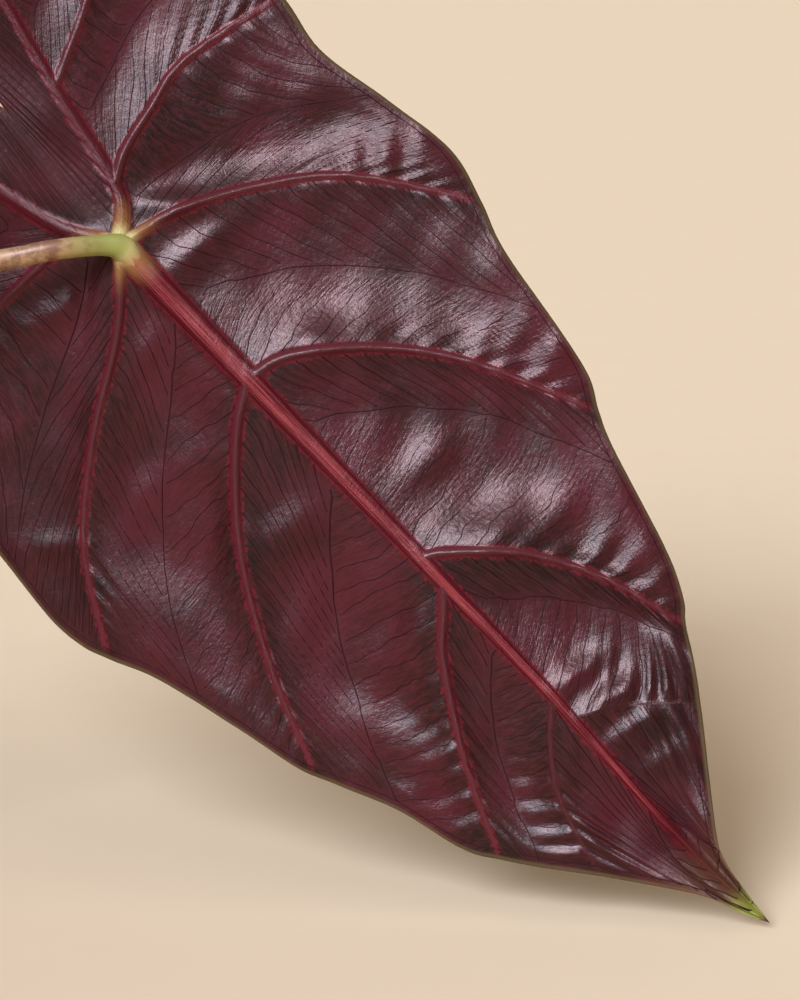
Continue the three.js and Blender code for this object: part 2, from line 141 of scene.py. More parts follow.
RIB_SKIRT_REACH = 1.7
GROOVE_SHARE = 0.2
FOLD_SOFTNESS = 6
HOLLOW_DEPTH = 3
HOLLOW_SHIFT = 1.1
HOLLOW_FULLNESS = 0.8
FULL_STRIP = 40
WAVE_LENGTH = 120
WAVE_TURN = 57
SLOW_WAVE = 0.35
TIP_CALM = 50
LOBE_CALM = 30
PLEAT_REACH = 11
PLEAT_DEPTH = 0.16
PLEAT_DEPTH_BESIDE_VEIN = 1.05
PLEAT_START = 0.25
PLEAT_RISE = 0.4
PLEAT_STOP = 0.98
PLEAT_FALL = 0.12
PLEAT_FOOT = 2.5
PLEAT_CALM_MIDDLE = 3
QUILT_SEED = 11
QUILT_CALM_SIDES = 3
QUILT_CALM_SPINE = 5
INNER_PLEAT_DEPTH = 0.25
INNER_WAVE_HEIGHT = 0.5
INNER_WAVE_SEED = 17
INNER_WAVE_LENGTH = 20
INNER_HOLLOW = 0.9
INNER_CALM = 20
SWELLING_HEIGHT = 1.6
JOINT_RISE = 1.1
JOINT_REACH = 5

# How finely a blade's grid is drawn
STATION_SPACING = 1.35
STATIONS_AT_VEIN = 7
LEAST_STATIONS = 3
CROWDING_AT_VEIN = 0.62
RIB_COLUMNS = (0, 0.3, 0.55, 0.78, 0.95, 1.15, 1.5, 2.1)
RIB_COLUMN_SPREAD = 0.035
OUTER_COLUMNS = 62
INNER_COLUMNS = 26
LEAST_WIDTH = 0.5
INNER_KIND = 20
INNER_MIDDLE_GAP = 9
INNER_LEAN = 0.5

# Petioles
PETIOLE_BASE_RADIUS = 4.3
PETIOLE_TIP_RADIUS = 2.35
PETIOLE_TAPER = 1.6
PETIOLE_FLARE = 0.8
PETIOLE_FLARE_REACH = 3.2
PETIOLE_END_TAPER = 0.09
PETIOLE_END_DEPTHS = (1.6, 2.6)
PETIOLE_POINTS = 130

# Fine veins: half widths at their start and end, and how they run
GATHERING_VEIN = (0.23, 0.16)
MARGIN_VEIN = (0.13, 0.1299)
MARGIN_VEIN_INSET = 2.6
MARGIN_VEIN_POINTS = 330
MARGIN_VEIN_START = 1.5
MARGIN_VEIN_STOP = 9
LOBE_VEIN = (0.15, 0.08)
LOBE_VEIN_SPACING = 5.6
LOBE_VEIN_LEAN = 8
LOBE_VEIN_BEND = 1.3
LOBE_VEIN_SHARES = (0.04, 0.93)
LOBE_VEIN_PLACES = (-9, -80)
SECONDARY_VEIN_START = (0.16, 0.22)
SECONDARY_VEIN_END = 0.14
SMALL_VEIN_START = (0.08, 0.13)
SMALL_VEIN_END = 0.05
SMALL_VEIN_GAP = 4
SECONDARY_SPACING = (4.4, 7.6)
SECONDARY_REACH = 45
SECONDARY_LAST_SHARE = 0.965
GATHERING_LAST_SHARE = 0.968
FORWARD_LEAN = 0.03
BACKWARD_LEAN = 1.2
RIPPLES = ((0.6, 3.4), (0.22, 1.1))
RIPPLE_START = 4
RIPPLE_STRETCH = (0.7, 1.4)
SMALL_VEIN_SCATTER = (0.7, 1.3)
SMALL_VEIN_EXTENT = (0.3, 0.95)
SMALL_VEIN_STOP = 0.6
SECONDARY_STOP = (0.1, 0.9)
LEAST_JOINT_STEP = 0.012
GATHERING_STEPS = 6
VEIN_CLEARANCE = 0.15

# Fibres in the lamina: how far their noise moves on from one strip to the next
KIND_STEP = 7.3

# The camera, which looks down a little on leaf 1
VIEW_RISE = math.radians(12)
VIEW_CENTRE = Vector((214.4, 47.8, 97.13))
VIEW_DISTANCE = 767
VIEW_LENS = 120.05

RIGHT_HALF = {
    "lobe_rib": [(0, 0), (-9.5, 8.4), (-34.5, 13.9), (-60, 20), (-LOBE_LENGTH, 27)],
    "sinus": [(-41, 2.5), (-50, 4), (-66, 10), (-82, 17), (-LOBE_LENGTH, 27)],
    "margin": [
        (-LOBE_LENGTH, 27), (-87, 42), (-72, 56), (-50, 64.5), (-20, 67.8), (-2, 65.3), (17.5, 68.6),
        (36, 71.2), (49.4, 68.1), (61.6, 63.8), (82.6, 60.4), (96.2, 57.7), (104, 53.7), (113, 49.9),
        (138, 42.5), (149.2, 37.4), (154, 33.6), (168.3, 24), (191, 6.5), (198, 2.6), (206.6, 1.1),
        (BLADE_LENGTH, 0),
    ],
    "laterals": [
        {"leaves": -71, "path": [(-67, 32)], "ends": 2, "strength": 0.4},
        {"leaves": -48, "path": [(-43, 27), (-51, 44)], "ends": 3, "strength": 0.6},
        {
            "leaves": -25, "path": [(-15.2, 16), (-18.2, 26.6), (-21.3, 40.5)], "ends": 4.1,
            "strength": 1,
        },
        {"leaves": 0, "path": [(3.5, 15.6), (11.8, 33), (24.4, 49.7)], "ends": 8, "strength": 1},
        {
            "leaves": 42.5, "path": [(45.4, 10.6), (58.3, 26.9), (75, 39.8)], "ends": 12, "strength": 1,
            "middle": 0.3,
        },
        {
            "leaves": 99.5, "path": [(103.5, 5.9), (116.8, 18.8), (134, 28)], "ends": 16, "strength": 0.9,
            "middle": 0.3,
        },
        {"leaves": 150, "path": [(157, 11)], "ends": 17, "strength": 0.2},
    ],
}
LEFT_HALF = {
    "lobe_rib": [(0, 0), (-12.4, -7.3), (-28, -11.5), (-60, -18), (-LOBE_LENGTH, -27)],
    "sinus": [(-41, 2.5), (-50, 0), (-66, -8), (-82, -17), (-LOBE_LENGTH, -27)],
    "margin": [
        (-LOBE_LENGTH, -27), (-87, -42), (-70, -57), (-46, -66.5), (-14, -69.5), (12, -69.8), (31.6, -70.7),
        (50, -72.4), (59.6, -71.6), (66.5, -69.1), (78.5, -63.6), (99.6, -58), (116, -54.3), (125.3, -50.2),
        (139, -44.1), (154.8, -39.9), (163.2, -35.1), (181.6, -20.8), (200.3, -7.1), (209.8, -3.2),
        (BLADE_LENGTH, 0),
    ],
    "laterals": [
        {"leaves": -71, "path": [(-67, -32)], "ends": 2, "strength": 0.4},
        {"leaves": -48, "path": [(-36, -26), (-43, -46)], "ends": 3, "strength": 0.6},
        {"leaves": -16, "path": [(-9.4, -15.2), (-9.8, -29.7), (-11, -50)], "ends": 4, "strength": 0.9},
        {"leaves": 0, "path": [(13.6, -13.9), (27.6, -35.8), (44.4, -55.3)], "ends": 9, "strength": 1},
        {"leaves": 42.5, "path": [(50.8, -11.8), (69.6, -28.8), (93.7, -42.4)], "ends": 12.4, "strength": 1},
        {
            "leaves": 107.5, "path": [(113.7, -6), (120.4, -12.4), (140.7, -24.8)], "ends": 16,
            "strength": 0.9,
        },
        {"leaves": 144, "path": [(150.7, -7.4), (162.4, -15.3)], "ends": 17, "strength": 0.4},
    ],
}

# Swellings and hollows of the first leaf: u, v, half length, half width, turn in degrees and height
SWELLINGS = [
    (0, 14, 10, 3, 49, 1), (13, 12, 10, 3.4, 83, 1), (21, 54, 6, 2.2, 131, 0.6),
    (26, 60, 6.5, 2.2, 132, 0.7), (31, 66, 6, 2.2, 127, 0.6), (48, 16, 15, 6, 74, 1.1),
    (73, 47, 6.5, 2.2, 101, 0.7), (78, 52, 6.5, 2.3, 102, 0.7), (87, 55, 6, 2.2, 96, 0.6),
    (109, 18, 19, 7, 71, 1.6), (85, 18, 9, 3.5, 86, 0.8), (127, 32, 6, 2.4, 105, 0.8),
    (134, 34, 6, 2.3, 101, 0.7), (142, 35, 5, 2, 96, 0.5), (144, 8, 8, 2.6, 85, 0.9),
    (153, 8, 8, 2.6, 85, 0.9), (162, 8, 8, 2.6, 80, 0.8), (172, 8, 7, 2.6, 80, 0.6),
    (74, -18, 10, 5.5, 76, 1.1), (47, -26, 9, 4.5, 86, 0.9), (39, -60, 9, 3, 55, 0.7),
    (112, -17, 9, 4.5, 92, 0.9), (70, -68, 6, 3, 66, 0.5), (1, -21, 9, 3, 75, 0.7),
    (137, -29, 7, 3.5, 96, 0.6), (22, -12, 7, 3, 105, 0.6), (6, 36, 20, 7, 58, -1.3),
    (13, 57, 10, 5, 52, -0.8), (65, -54, 16, 7, 11, 1.1), (126, -33, 16, 6, 19, 1),
    (3, -15, 8, 2.2, 126, -0.6), (27, -30, 10, 4, 115, 0.6),
]


def heading(azimuth):
    """The level direction at an azimuth in degrees, counted from +X."""
    angle = math.radians(azimuth)
    return Vector((math.cos(angle), math.sin(angle), 0))


def hanging(name, size, azimuth, reach, height, dip, roll, base_azimuth):
    """A leaf that faces up and out, with its tip pointing away from the stem and down."""
    out = heading(azimuth)
    slope = math.radians(dip)
    tipward = out * math.cos(slope) - Vector((0, 0, math.sin(slope)))
    underside = -out * math.sin(slope) - Vector((0, 0, math.cos(slope)))
    underside.rotate(Matrix.Rotation(math.radians(roll), 3, tipward))
    return {
        "name": name, "size": size, "attach": out * reach + Vector((0, 0, height)), "tipward": tipward,
        "underside": underside, "fold": 0.16, "tip_arch": 26, "lobe_arch": 12, "wave": 4,
        "wave_shift": azimuth / WAVE_TURN, "quilt": 0.85, "quilt_length": 23, "fineness": 0.62,
        "base_azimuth": base_azimuth, "route": None,
    }


LEAVES = [
    {
        "name": "leaf_1", "size": 1, "attach": Vector((150, 60, 154.5)),
        "tipward": Vector((0.69, -0.15, -0.704)),
        "underside": Vector((0, -math.cos(VIEW_RISE), math.sin(VIEW_RISE))), "fold": 0.2, "tip_arch": 0,
        "lobe_arch": 9, "wave": 2.2, "wave_shift": 0, "quilt": 0.3, "quilt_length": 14, "fineness": 1,
        "base_azimuth": 20,
        "route": [(13, 4.5, 128), (40, 16, 143), (84, 33, 149), (121, 45, 152.5), (136, 49.5, 154.8)],
    },
    hanging("leaf_2", 0.93, azimuth=92, reach=78, height=285, dip=48, roll=8, base_azimuth=80),
    hanging("leaf_3", 0.84, azimuth=146, reach=92, height=236, dip=40, roll=-10, base_azimuth=140),
    hanging("leaf_4", 0.9, azimuth=196, reach=80, height=298, dip=52, roll=6, base_azimuth=200),
    hanging("leaf_5", 0.78, azimuth=240, reach=98, height=216, dip=38, roll=12, base_azimuth=260),
    hanging("leaf_6", 0.66, azimuth=300, reach=44, height=336, dip=50, roll=-6, base_azimuth=320),
]


# Node trees


class Signal:
    """A value in a node tree. Arithmetic on it adds Math nodes."""

    def __init__(self, tree, socket):
        self.tree = tree
        self.socket = socket

    def math(self, operation, *terms):
        return self.tree.node("ShaderNodeMath", {"operation": operation}, dict(enumerate(terms)))

    def __add__(self, other):
        return self.math("ADD", self, other)

    def __sub__(self, other):
        return self.math("SUBTRACT", self, other)

    def __rsub__(self, other):
        return self.math("SUBTRACT", other, self)

    def __mul__(self, other):
        return self.math("MULTIPLY", self, other)

    def __truediv__(self, other):
        return self.math("DIVIDE", self, other)

    def __pow__(self, other):
        return self.math("POWER", self, other)

    def __abs__(self):
        return self.math("ABSOLUTE", self)

    __radd__ = __add__
    __rmul__ = __mul__


class Tree:
    """Adds nodes to a material's or a geometry modifier's node tree."""

    def __init__(self, tree):
        self.tree = tree

    def node(self, kind, settings=None, inputs=None, out=0):
        made = self.tree.nodes.new(kind)
        for name, value in (settings or {}).items():
            if name == "stops":
                ramp = made.color_ramp
                while len(ramp.elements) < len(value):
                    ramp.elements.new(0.5)
                for element, (place, tint) in zip(ramp.elements, value):
                    element.position = place
                    element.color = tint
            else:
                setattr(made, name, value)
        for name, value in (inputs or {}).items():
            if isinstance(value, Signal):
                self.tree.links.new(value.socket, made.inputs[name])
            else:
                made.inputs[name].default_value = value
        return Signal(self, made.outputs[out]) if made.outputs else None

    def smooth(self, value, low, high):
        """0 at low and 1 at high, with a soft start and end."""
        sockets = {"Value": value, "From Min": low, "From Max": high}
        return self.node("ShaderNodeMapRange", {"interpolation_type": "SMOOTHSTEP"}, sockets)

    def blend(self, amount, first, second):
        """A colour between two."""
        return self.node("ShaderNodeMix", {"data_type": "RGBA"}, {0: amount, 6: first, 7: second}, out=2)


class Finish(Tree):
    """A material under construction."""

    def __init__(self, name):
        self.material = bpy.data.materials.new(name)
        self.material.use_nodes = True
        super().__init__(self.material.node_tree)
        self.tree.nodes.clear()

    def measure(self, name):
        """A value that the mesh holds at each vertex."""
        return self.node("ShaderNodeAttribute", {"attribute_name": name}, out="Fac")

    def measures(self, *names):
        return [self.measure(name) for name in names]

    def place(self):
        return self.node("ShaderNodeTexCoord", out="Object")

    def noise(self, vector, scale, detail=2, rough=0.5, warp=0):
        sockets = {
            "Vector": vector, "Scale": scale, "Detail": detail, "Roughness": rough,
            "Distortion": warp,
        }
        return self.node("ShaderNodeTexNoise", None, sockets)

    def bump(self, height, distance, strength=1, over=None):
        sockets = {"Height": height, "Distance": distance, "Strength": strength}
        if over:
            sockets["Normal"] = over
        return self.node("ShaderNodeBump", None, sockets)

    def surface(self, **sockets):
        """Ends the material in one principled surface."""
        named = {name.replace("_", " "): value for name, value in sockets.items()}
        shader = self.node("ShaderNodeBsdfPrincipled", None, named)
        self.node("ShaderNodeOutputMaterial", None, {"Surface": shader})
        return self.material


def colour(red, green, blue):
    """A colour from its 0 to 255 screen values."""
    linear = []
    for value in (red, green, blue):
        share = value / 255
        linear.append(share / 12.92 if share <= 0.04045 else ((share + 0.055) / 1.055) ** 2.4)
    return (*linear, 1)


# Blade form


def spline(knots):
    """A smooth curve through its knots, as a function of the knot number."""
    knots = np.array(knots, float)
    padded = np.vstack([2 * knots[0] - knots[1], knots, 2 * knots[-1] - knots[-2]])

    def at(place):
        place = np.clip(np.asarray(place, float), 0, len(knots) - 1)
        first = np.minimum(place.astype(int), len(knots) - 2)
        share = (place - first)[..., None]
        before, start, end, after = (padded[first + k] for k in range(4))
        bend = (2 * before - 5 * start + 4 * end - after) * share**2
        twist = (3 * start - before - 3 * end + after) * share**3
        return 0.5 * (2 * start + (end - before) * share + bend + twist)

    return at


def evenly(knots, steps=200):
    """The same curve as a function of the share of its length."""
    curve = spline(knots)
    places = np.linspace(0, len(knots) - 1, steps + 1)
    points = curve(places)
    lengths = np.concatenate([[0], np.cumsum(np.linalg.norm(np.diff(points, axis=0), axis=1))])

    def at(share):
        return curve(np.interp(np.asarray(share, float) * lengths[-1], lengths, places))

    return at


def mix(first, second, share):
    return first + (second - first) * share


def midrib_side(u):
    along = np.clip((u - MIDRIB_SWAY_START) / (BLADE_LENGTH - MIDRIB_SWAY_START), 0, 1)
    return MIDRIB_SWAY * np.sin(math.pi * along**1.5)


def midrib_half_width(u):
    return MIDRIB_HALF_WIDTH * np.clip(1 - u / BLADE_LENGTH, 0, 1) ** MIDRIB_TAPER + RIB_AT_TIP


def midrib_height(u):
    return MIDRIB_HEIGHT * np.clip(1 - u / BLADE_LENGTH, 0, 1) ** MIDRIB_TAPER + RIB_AT_TIP


def lobe_rib_half_width(s):
    return LOBE_RIB_HALF_WIDTH * np.clip(1 + s / LOBE_LENGTH, 0, 1) ** LOBE_RIB_TAPER + RIB_AT_TIP


class Half:
    """One side of a blade: a fan of strips between its laterals, from the lobe's tip to the blade's tip."""

    def __init__(self, plan):
        self.lobe = spline(plan["lobe_rib"])
        self.margin = spline(plan["margin"])
        self.sinus = spline(plan["sinus"])
        self.lobe_steps = len(plan["lobe_rib"]) - 1
        self.sinus_steps = len(plan["sinus"]) - 1
        last = len(plan["margin"]) - 1
        self.leaves = [-LOBE_LENGTH, *(v["leaves"] for v in plan["laterals"]), BLADE_LENGTH]
        self.ends = [0, *(v["ends"] for v in plan["laterals"]), last]
        self.strengths = [0, *(v["strength"] for v in plan["laterals"]), 0]
        self.lobe_tip = self.margin(0)
        self.tip = self.margin(last)
        self.veins = [lambda share: np.broadcast_to(self.lobe_tip, (*np.shape(share), 2))]
        for v in plan["laterals"]:
            start = self.spine(np.array(float(v["leaves"])))
            self.veins.append(evenly([start, *v["path"], self.margin(v["ends"])]))
        self.veins.append(lambda share: np.broadcast_to(self.tip, (*np.shape(share), 2)))
        middles = [0.5, *(v.get("middle", 0.45) for v in plan["laterals"])]
        rng = np.random.default_rng(len(plan["margin"]))
        self.strips = [Strip(self, number, middle, rng) for number, middle in enumerate(middles)]

    def spine(self, s):
        """The midrib ahead of the petiole and the lobe's rib behind it."""
        ahead = np.stack([s, midrib_side(s)], axis=-1)
        behind = self.lobe(-s / LOBE_LENGTH * self.lobe_steps)
        return np.where((s < 0)[..., None], behind, ahead)

    def strip(self, s):
        """The strip that each station lies in, and its share of the way across."""
        number = np.clip(np.searchsorted(self.leaves, s, side="left") - 1, 0, len(self.leaves) - 2)
        low = np.take(self.leaves, number)
        high = np.take(self.leaves, number + 1)
        return number, (s - low) / (high - low)

    def outer(self, s, a):
        """Points of the fan for stations s and shares a of the way out, both as grids."""
        number, b = self.strip(s)
        points = np.empty((*s.shape, 2))
        for k in range(len(self.leaves) - 1):
            here = number == k
            if not here.any():
                continue
            sk, ak, bk = s[here], a[here][:, None], b[here][:, None]
            edge = self.margin(mix(self.ends[k], self.ends[k + 1], bk[:, 0]))
            across = mix(self.veins[k](a[here]), self.veins[k + 1](a[here]), bk)
            along = mix(self.spine(sk), edge, ak)
            low, high = (self.spine(np.array(float(self.leaves[j]))) for j in (k, k + 1))
            far_low, far_high = (self.margin(self.ends[j]) for j in (k, k + 1))
            points[here] = across + along - mix(mix(low, high, bk), mix(far_low, far_high, bk), ak)
        return points

    def lengths(self, s, draw=None):
        """How far it is from the spine to the edge at each station."""
        ends = (draw or self.outer)(np.stack([s, s], axis=1), np.tile([0.0, 1.0], (len(s), 1)))
        return np.linalg.norm(ends[:, 1] - ends[:, 0], axis=1)

    def inner(self, s, a):
        """Points between the lobe's rib and the sinus."""
        b = (-s / LOBE_LENGTH)[..., None]
        share = a[..., None]
        apex = self.sinus(0)
        across = mix(apex * share, self.lobe_tip, b)
        along = mix(self.spine(s), self.sinus(b[..., 0] * self.sinus_steps), share)
        corners = mix(mix(np.zeros(2), self.lobe_tip, b), mix(apex, self.lobe_tip, b), share)
        return across + along - corners


def lean(cross, forward):
    """How far a secondary vein has moved out towards the margin at a distance from its lateral."""
    return FORWARD_LEAN * cross**2 if forward else BACKWARD_LEAN * cross


class Strip:
    """The lamina between two laterals, and where its secondary veins leave them.

    A secondary's place is how far out it leaves its lateral. One with a place below 0 leaves the midrib.
    Those of the first lateral lean forward to the line in the middle, and those of the second lean back.
    """

    def __init__(self, half, number, middle, rng):
        self.number = number
        self.middle = middle
        self.low, self.high = half.leaves[number], half.leaves[number + 1]
        self.shares = np.linspace(0, 1, 41)
        gaps = half.veins[number + 1](self.shares) - half.veins[number](self.shares)
        self.widths = np.maximum(np.linalg.norm(gaps, axis=1), LEAST_WIDTH)
        s = mix(self.low, self.high, np.clip(self.shares, 0.001, 0.999))
        self.lengths = np.maximum(half.lengths(s), LEAST_WIDTH)
        self.places = {}
        for forward in (True, False):
            first = -lean(self.reach_across(forward) * self.widths[0], forward)
            steps = rng.uniform(*SECONDARY_SPACING, 60)
            places = first + np.cumsum(steps)
            self.places[forward] = places[places < self.lengths.max() + 8]

    def reach_across(self, forward):
        return self.middle if forward else 1 - self.middle

    def measures(self, b, a):
        """For each point: how far it is from the nearer lateral, its place and phase among the secondary
        veins, and its gap to the line in the middle.
        """
        width = np.interp(a, self.shares, self.widths)
        out = a * np.interp(b, self.shares, self.lengths)
        forward = b < self.middle
        cross = np.where(forward, b, 1 - b) * width
        place = out - np.where(forward, lean(cross, True), lean(cross, False))
        phase = np.where(forward, self.phase(place, True), self.phase(place, False))
        return cross, place, phase, np.abs(b - self.middle) * width

    def phase(self, place, forward):
        """Grows by 1 from each secondary vein to the next."""
        places = self.places[forward]
        return np.interp(place, places, np.arange(len(places)))

    def locate(self, cross, out, forward):
        """The share across and the share out of a point given in mm."""
        a = np.full(len(cross), 0.5)
        for _ in range(14):
            b = np.clip(cross / np.interp(a, self.shares, self.widths), 0, 1)
            b = b if forward else 1 - b
            a = np.clip(0.5 * a + 0.5 * out / np.interp(b, self.shares, self.lengths), 0, 1)
        return b, a

    def secondary(self, place, forward, rng, extent, shift):
        """The run of one secondary vein as shares across and out, up to the line in the middle."""
        cross = np.linspace(0, SECONDARY_REACH, 150)
        ripple = sum(
            size * np.sin(cross / (length * rng.uniform(*RIPPLE_STRETCH)) + rng.uniform(0, 6))
            for size, length in RIPPLES
        )
        ripple = ripple * np.clip(cross / RIPPLE_START, 0, 1)
        b, a = self.locate(cross, place + lean(cross, forward) + ripple, forward)
        width = np.interp(a, self.shares, self.widths)
        done = (b if forward else 1 - b) * width
        limit = (self.reach_across(forward) * width - shift) * extent
        inside = (place + lean(cross, forward) > 0.4) & (a < SECONDARY_LAST_SHARE)
        inside &= done <= limit
        if inside.sum() < 4:
            return None
        first = np.argmax(inside)
        outside = np.flatnonzero(~inside[first:])
        last = first + (outside[0] if len(outside) else len(cross) - first)
        return b[first:last], a[first:last]

    def network(self, rng):
        """Veins of this strip: each a run of stations and shares out, with its first and last half width."""
        found = []
        joints = []
        for forward, places in self.places.items():
            for k, place in enumerate(places):
                shift = rng.uniform(*SECONDARY_STOP)
                run = self.secondary(place, forward, rng, 1.0, shift)
                if run:
                    found.append((*run, rng.uniform(*SECONDARY_VEIN_START), SECONDARY_VEIN_END))
                    if run[1][-1] < SECONDARY_LAST_SHARE - 0.01:
                        joints.append((run[1][-1], run[0][-1]))
                gap = places[k + 1] - place if k + 1 < len(places) else 5
                between = max(1, round(gap / SMALL_VEIN_GAP)) - 1
                for j in range(between):
                    fine_place = place + gap * (j + rng.uniform(*SMALL_VEIN_SCATTER)) / (between + 1)
                    extent = rng.uniform(*SMALL_VEIN_EXTENT)
                    run = self.secondary(fine_place, forward, rng, extent, SMALL_VEIN_STOP)
                    if run:
                        found.append((*run, rng.uniform(*SMALL_VEIN_START), SMALL_VEIN_END))
        joints.sort()
        if len(joints) > 2:
            a = np.array([joint[0] for joint in joints] + [GATHERING_LAST_SHARE])
            b = np.array([joint[1] for joint in joints] + [self.middle])
            keep = np.append(True, np.diff(a) > LEAST_JOINT_STEP)
            places = np.arange(keep.sum())
            fine = np.linspace(0, keep.sum() - 1, keep.sum() * GATHERING_STEPS)
            b = b[keep]
            b[1:-1] = 0.25 * b[:-2] + 0.5 * b[1:-1] + 0.25 * b[2:]
            gathered = (np.interp(fine, places, b), np.interp(fine, places, a[keep]))
            found.append((*gathered, *GATHERING_VEIN))
        return [(mix(self.low, self.high, b), a, start, end) for b, a, start, end in found]


HALVES = [Half(RIGHT_HALF), Half(LEFT_HALF)]


def ribs_of_blade():
    """Every raised vein: its path, its half width and height along it, and its rank in the blade."""
    ribs = []
    u = np.linspace(0, BLADE_LENGTH, 140)
    midrib = np.stack([u, midrib_side(u)], axis=1)
    ribs.append((midrib, midrib_half_width(u), midrib_height(u), MIDRIB_RANK))
    for half in HALVES:
        s = -np.linspace(0, LOBE_LENGTH, 60)
        width = lobe_rib_half_width(s)
        ribs.append((half.spine(s), width, width, LOBE_RIB_RANK))
        for vein, strength in zip(half.veins[1:-1], half.strengths[1:-1]):
            share = np.linspace(0, LATERAL_LAST_SHARE, 60)
            width = LATERAL_HALF_WIDTH * (1 - share) ** LATERAL_TAPER + LATERAL_AT_MARGIN
            width = width * mix(LATERAL_LEAST_SHARE, 1, strength)
            height = LATERAL_STEEPNESS * width * strength * np.clip((1 - share) / LATERAL_SINK, 0, 1)
            ribs.append((vein(share), width, height, LATERAL_RANK * strength))
    return ribs


RIBS = ribs_of_blade()


def distances(points, path):
    """How far each point lies from a path, and at which of its steps."""
    nearest = np.full(len(points), np.inf)
    place = np.zeros(len(points))
    for k in range(len(path) - 1):
        leg = path[k + 1] - path[k]
        share = np.clip((points - path[k]) @ leg / max(leg @ leg, 1e-12), 0, 1)
        gap = np.linalg.norm(points - path[k] - share[:, None] * leg, axis=1)
        closer = gap < nearest
        nearest[closer] = gap[closer]
        place[closer] = k + share[closer]
    return nearest, place


def rib_fields(points):
    """For each point: the ribs' height, the gap to the nearest rib's foot, and that rib's rank and width."""
    height = np.zeros(len(points))
    gap = np.full(len(points), 50.0)
    rank = np.zeros(len(points))
    half_width = np.ones(len(points))
    for path, widths, heights, level in RIBS:
        far, place = distances(points, path)
        steps = np.arange(len(path))
        width = np.interp(place, steps, widths)
        share = far / width
        crown = np.sqrt(np.clip(1 - share**2, 0, 1))
        skirt = np.clip(1 - share / RIB_SKIRT_REACH, 0, 1) ** 2
        profile = mix(skirt, crown, RIB_CROWN_SHARE)
        height = np.maximum(height, np.interp(place, steps, heights) * profile)
        closer = far - width < gap
        gap[closer] = (far - width)[closer]
        rank[closer] = level
        half_width[closer] = width[closer]
    height = height + JOINT_RISE * np.exp(-((points**2).sum(axis=1)) / JOINT_REACH**2)
    return height, gap, rank, half_width


def stations(start, end, halves, fineness):
    """Places along a spine, close together at each vein and wider in between."""
    marks = sorted({start, end, *(m for half in halves for m in half.leaves if start < m < end)})
    places = []
    for low, high in zip(marks[:-1], marks[1:]):
        edges = [half.outer(np.array([float(low), float(high)]), np.ones(2)) for half in halves]
        reach = max(np.linalg.norm(edge[0] - edge[1]) for edge in edges)
        span = max(high - low, 0.75 * reach)
        count = max(LEAST_STATIONS, round((span / STATION_SPACING + STATIONS_AT_VEIN) * fineness))
        share = np.linspace(0, 1, count + 1)
        crowded = share - CROWDING_AT_VEIN * np.sin(2 * math.pi * share) / (2 * math.pi)
        places.append(low + (high - low) * crowded[:-1])
    return np.append(np.concatenate(places), end)


def columns(lengths, half_widths, count):
    """Shares of the way from the spine to the edge: close over the rib, then even."""
    near = np.array(RIB_COLUMNS)
    ridge = near[None, :] * half_widths[:, None] / np.maximum(lengths[:, None], 1e-6)
    ridge = np.minimum(ridge, RIB_COLUMN_SPREAD * np.arange(len(near)))
    rest = np.linspace(0, 1, count - len(near) + 1)[1:]
    start = ridge[:, -1:]
    return np.hstack([ridge, start + (1 - start) * rest[None, :]])


def waviness(u, v, seed, length, count=7):
    """Smooth irregular waves between about -1 and 1."""
    rng = np.random.default_rng(seed)
    total = 0
    for _ in range(count):
        angle = rng.uniform(0, 2 * math.pi)
        turn = 2 * math.pi / (length * rng.uniform(0.7, 1.5))
        run = u * math.cos(angle) + v * math.sin(angle)
        total = total + np.sin(turn * run + rng.uniform(0, 2 * math.pi))
    return total / math.sqrt(count * 2)


def blade_rest(leaf, u, v):
    """The fold along the midrib and the arches of tip and lobes."""
    away = np.abs(v - midrib_side(np.maximum(u, 0)))
    fold = -leaf["fold"] * (np.hypot(away, FOLD_SOFTNESS) - FOLD_SOFTNESS)
    ahead = leaf["tip_arch"] * (u / BLADE_LENGTH) ** 2
    behind = leaf["lobe_arch"] * (u / LOBE_LENGTH) ** 2
    return fold + np.where(u > 0, ahead, behind)


def inner_relief(leaf, s, a, u, v):
    """The lamina between a lobe's rib and the sinus, with a hollow and pleats across it."""
    fade = np.clip(-s / INNER_CALM, 0, 1) * np.clip((s + LOBE_LENGTH) / INNER_CALM, 0, 1)
    fade = fade * np.sin(math.pi * a)
    run = s + LOBE_VEIN_LEAN * a**LOBE_VEIN_BEND
    pleat = INNER_PLEAT_DEPTH * np.cos(run / LOBE_VEIN_SPACING * 2 * math.pi)
    waves = INNER_WAVE_HEIGHT * waviness(u, v, INNER_WAVE_SEED, INNER_WAVE_LENGTH)
    return blade_rest(leaf, u, v) + fade * (waves + INNER_HOLLOW + pleat)


def strip_measures(half, s, a):
    """Each strip's own measures, gathered for points of the whole fan."""
    number, b = half.strip(s)
    gathered = np.zeros((4, *s.shape))
    for strip in half.strips:
        here = number == strip.number
        if here.any():
            gathered[:, here] = strip.measures(b[here], a[here])
    return gathered


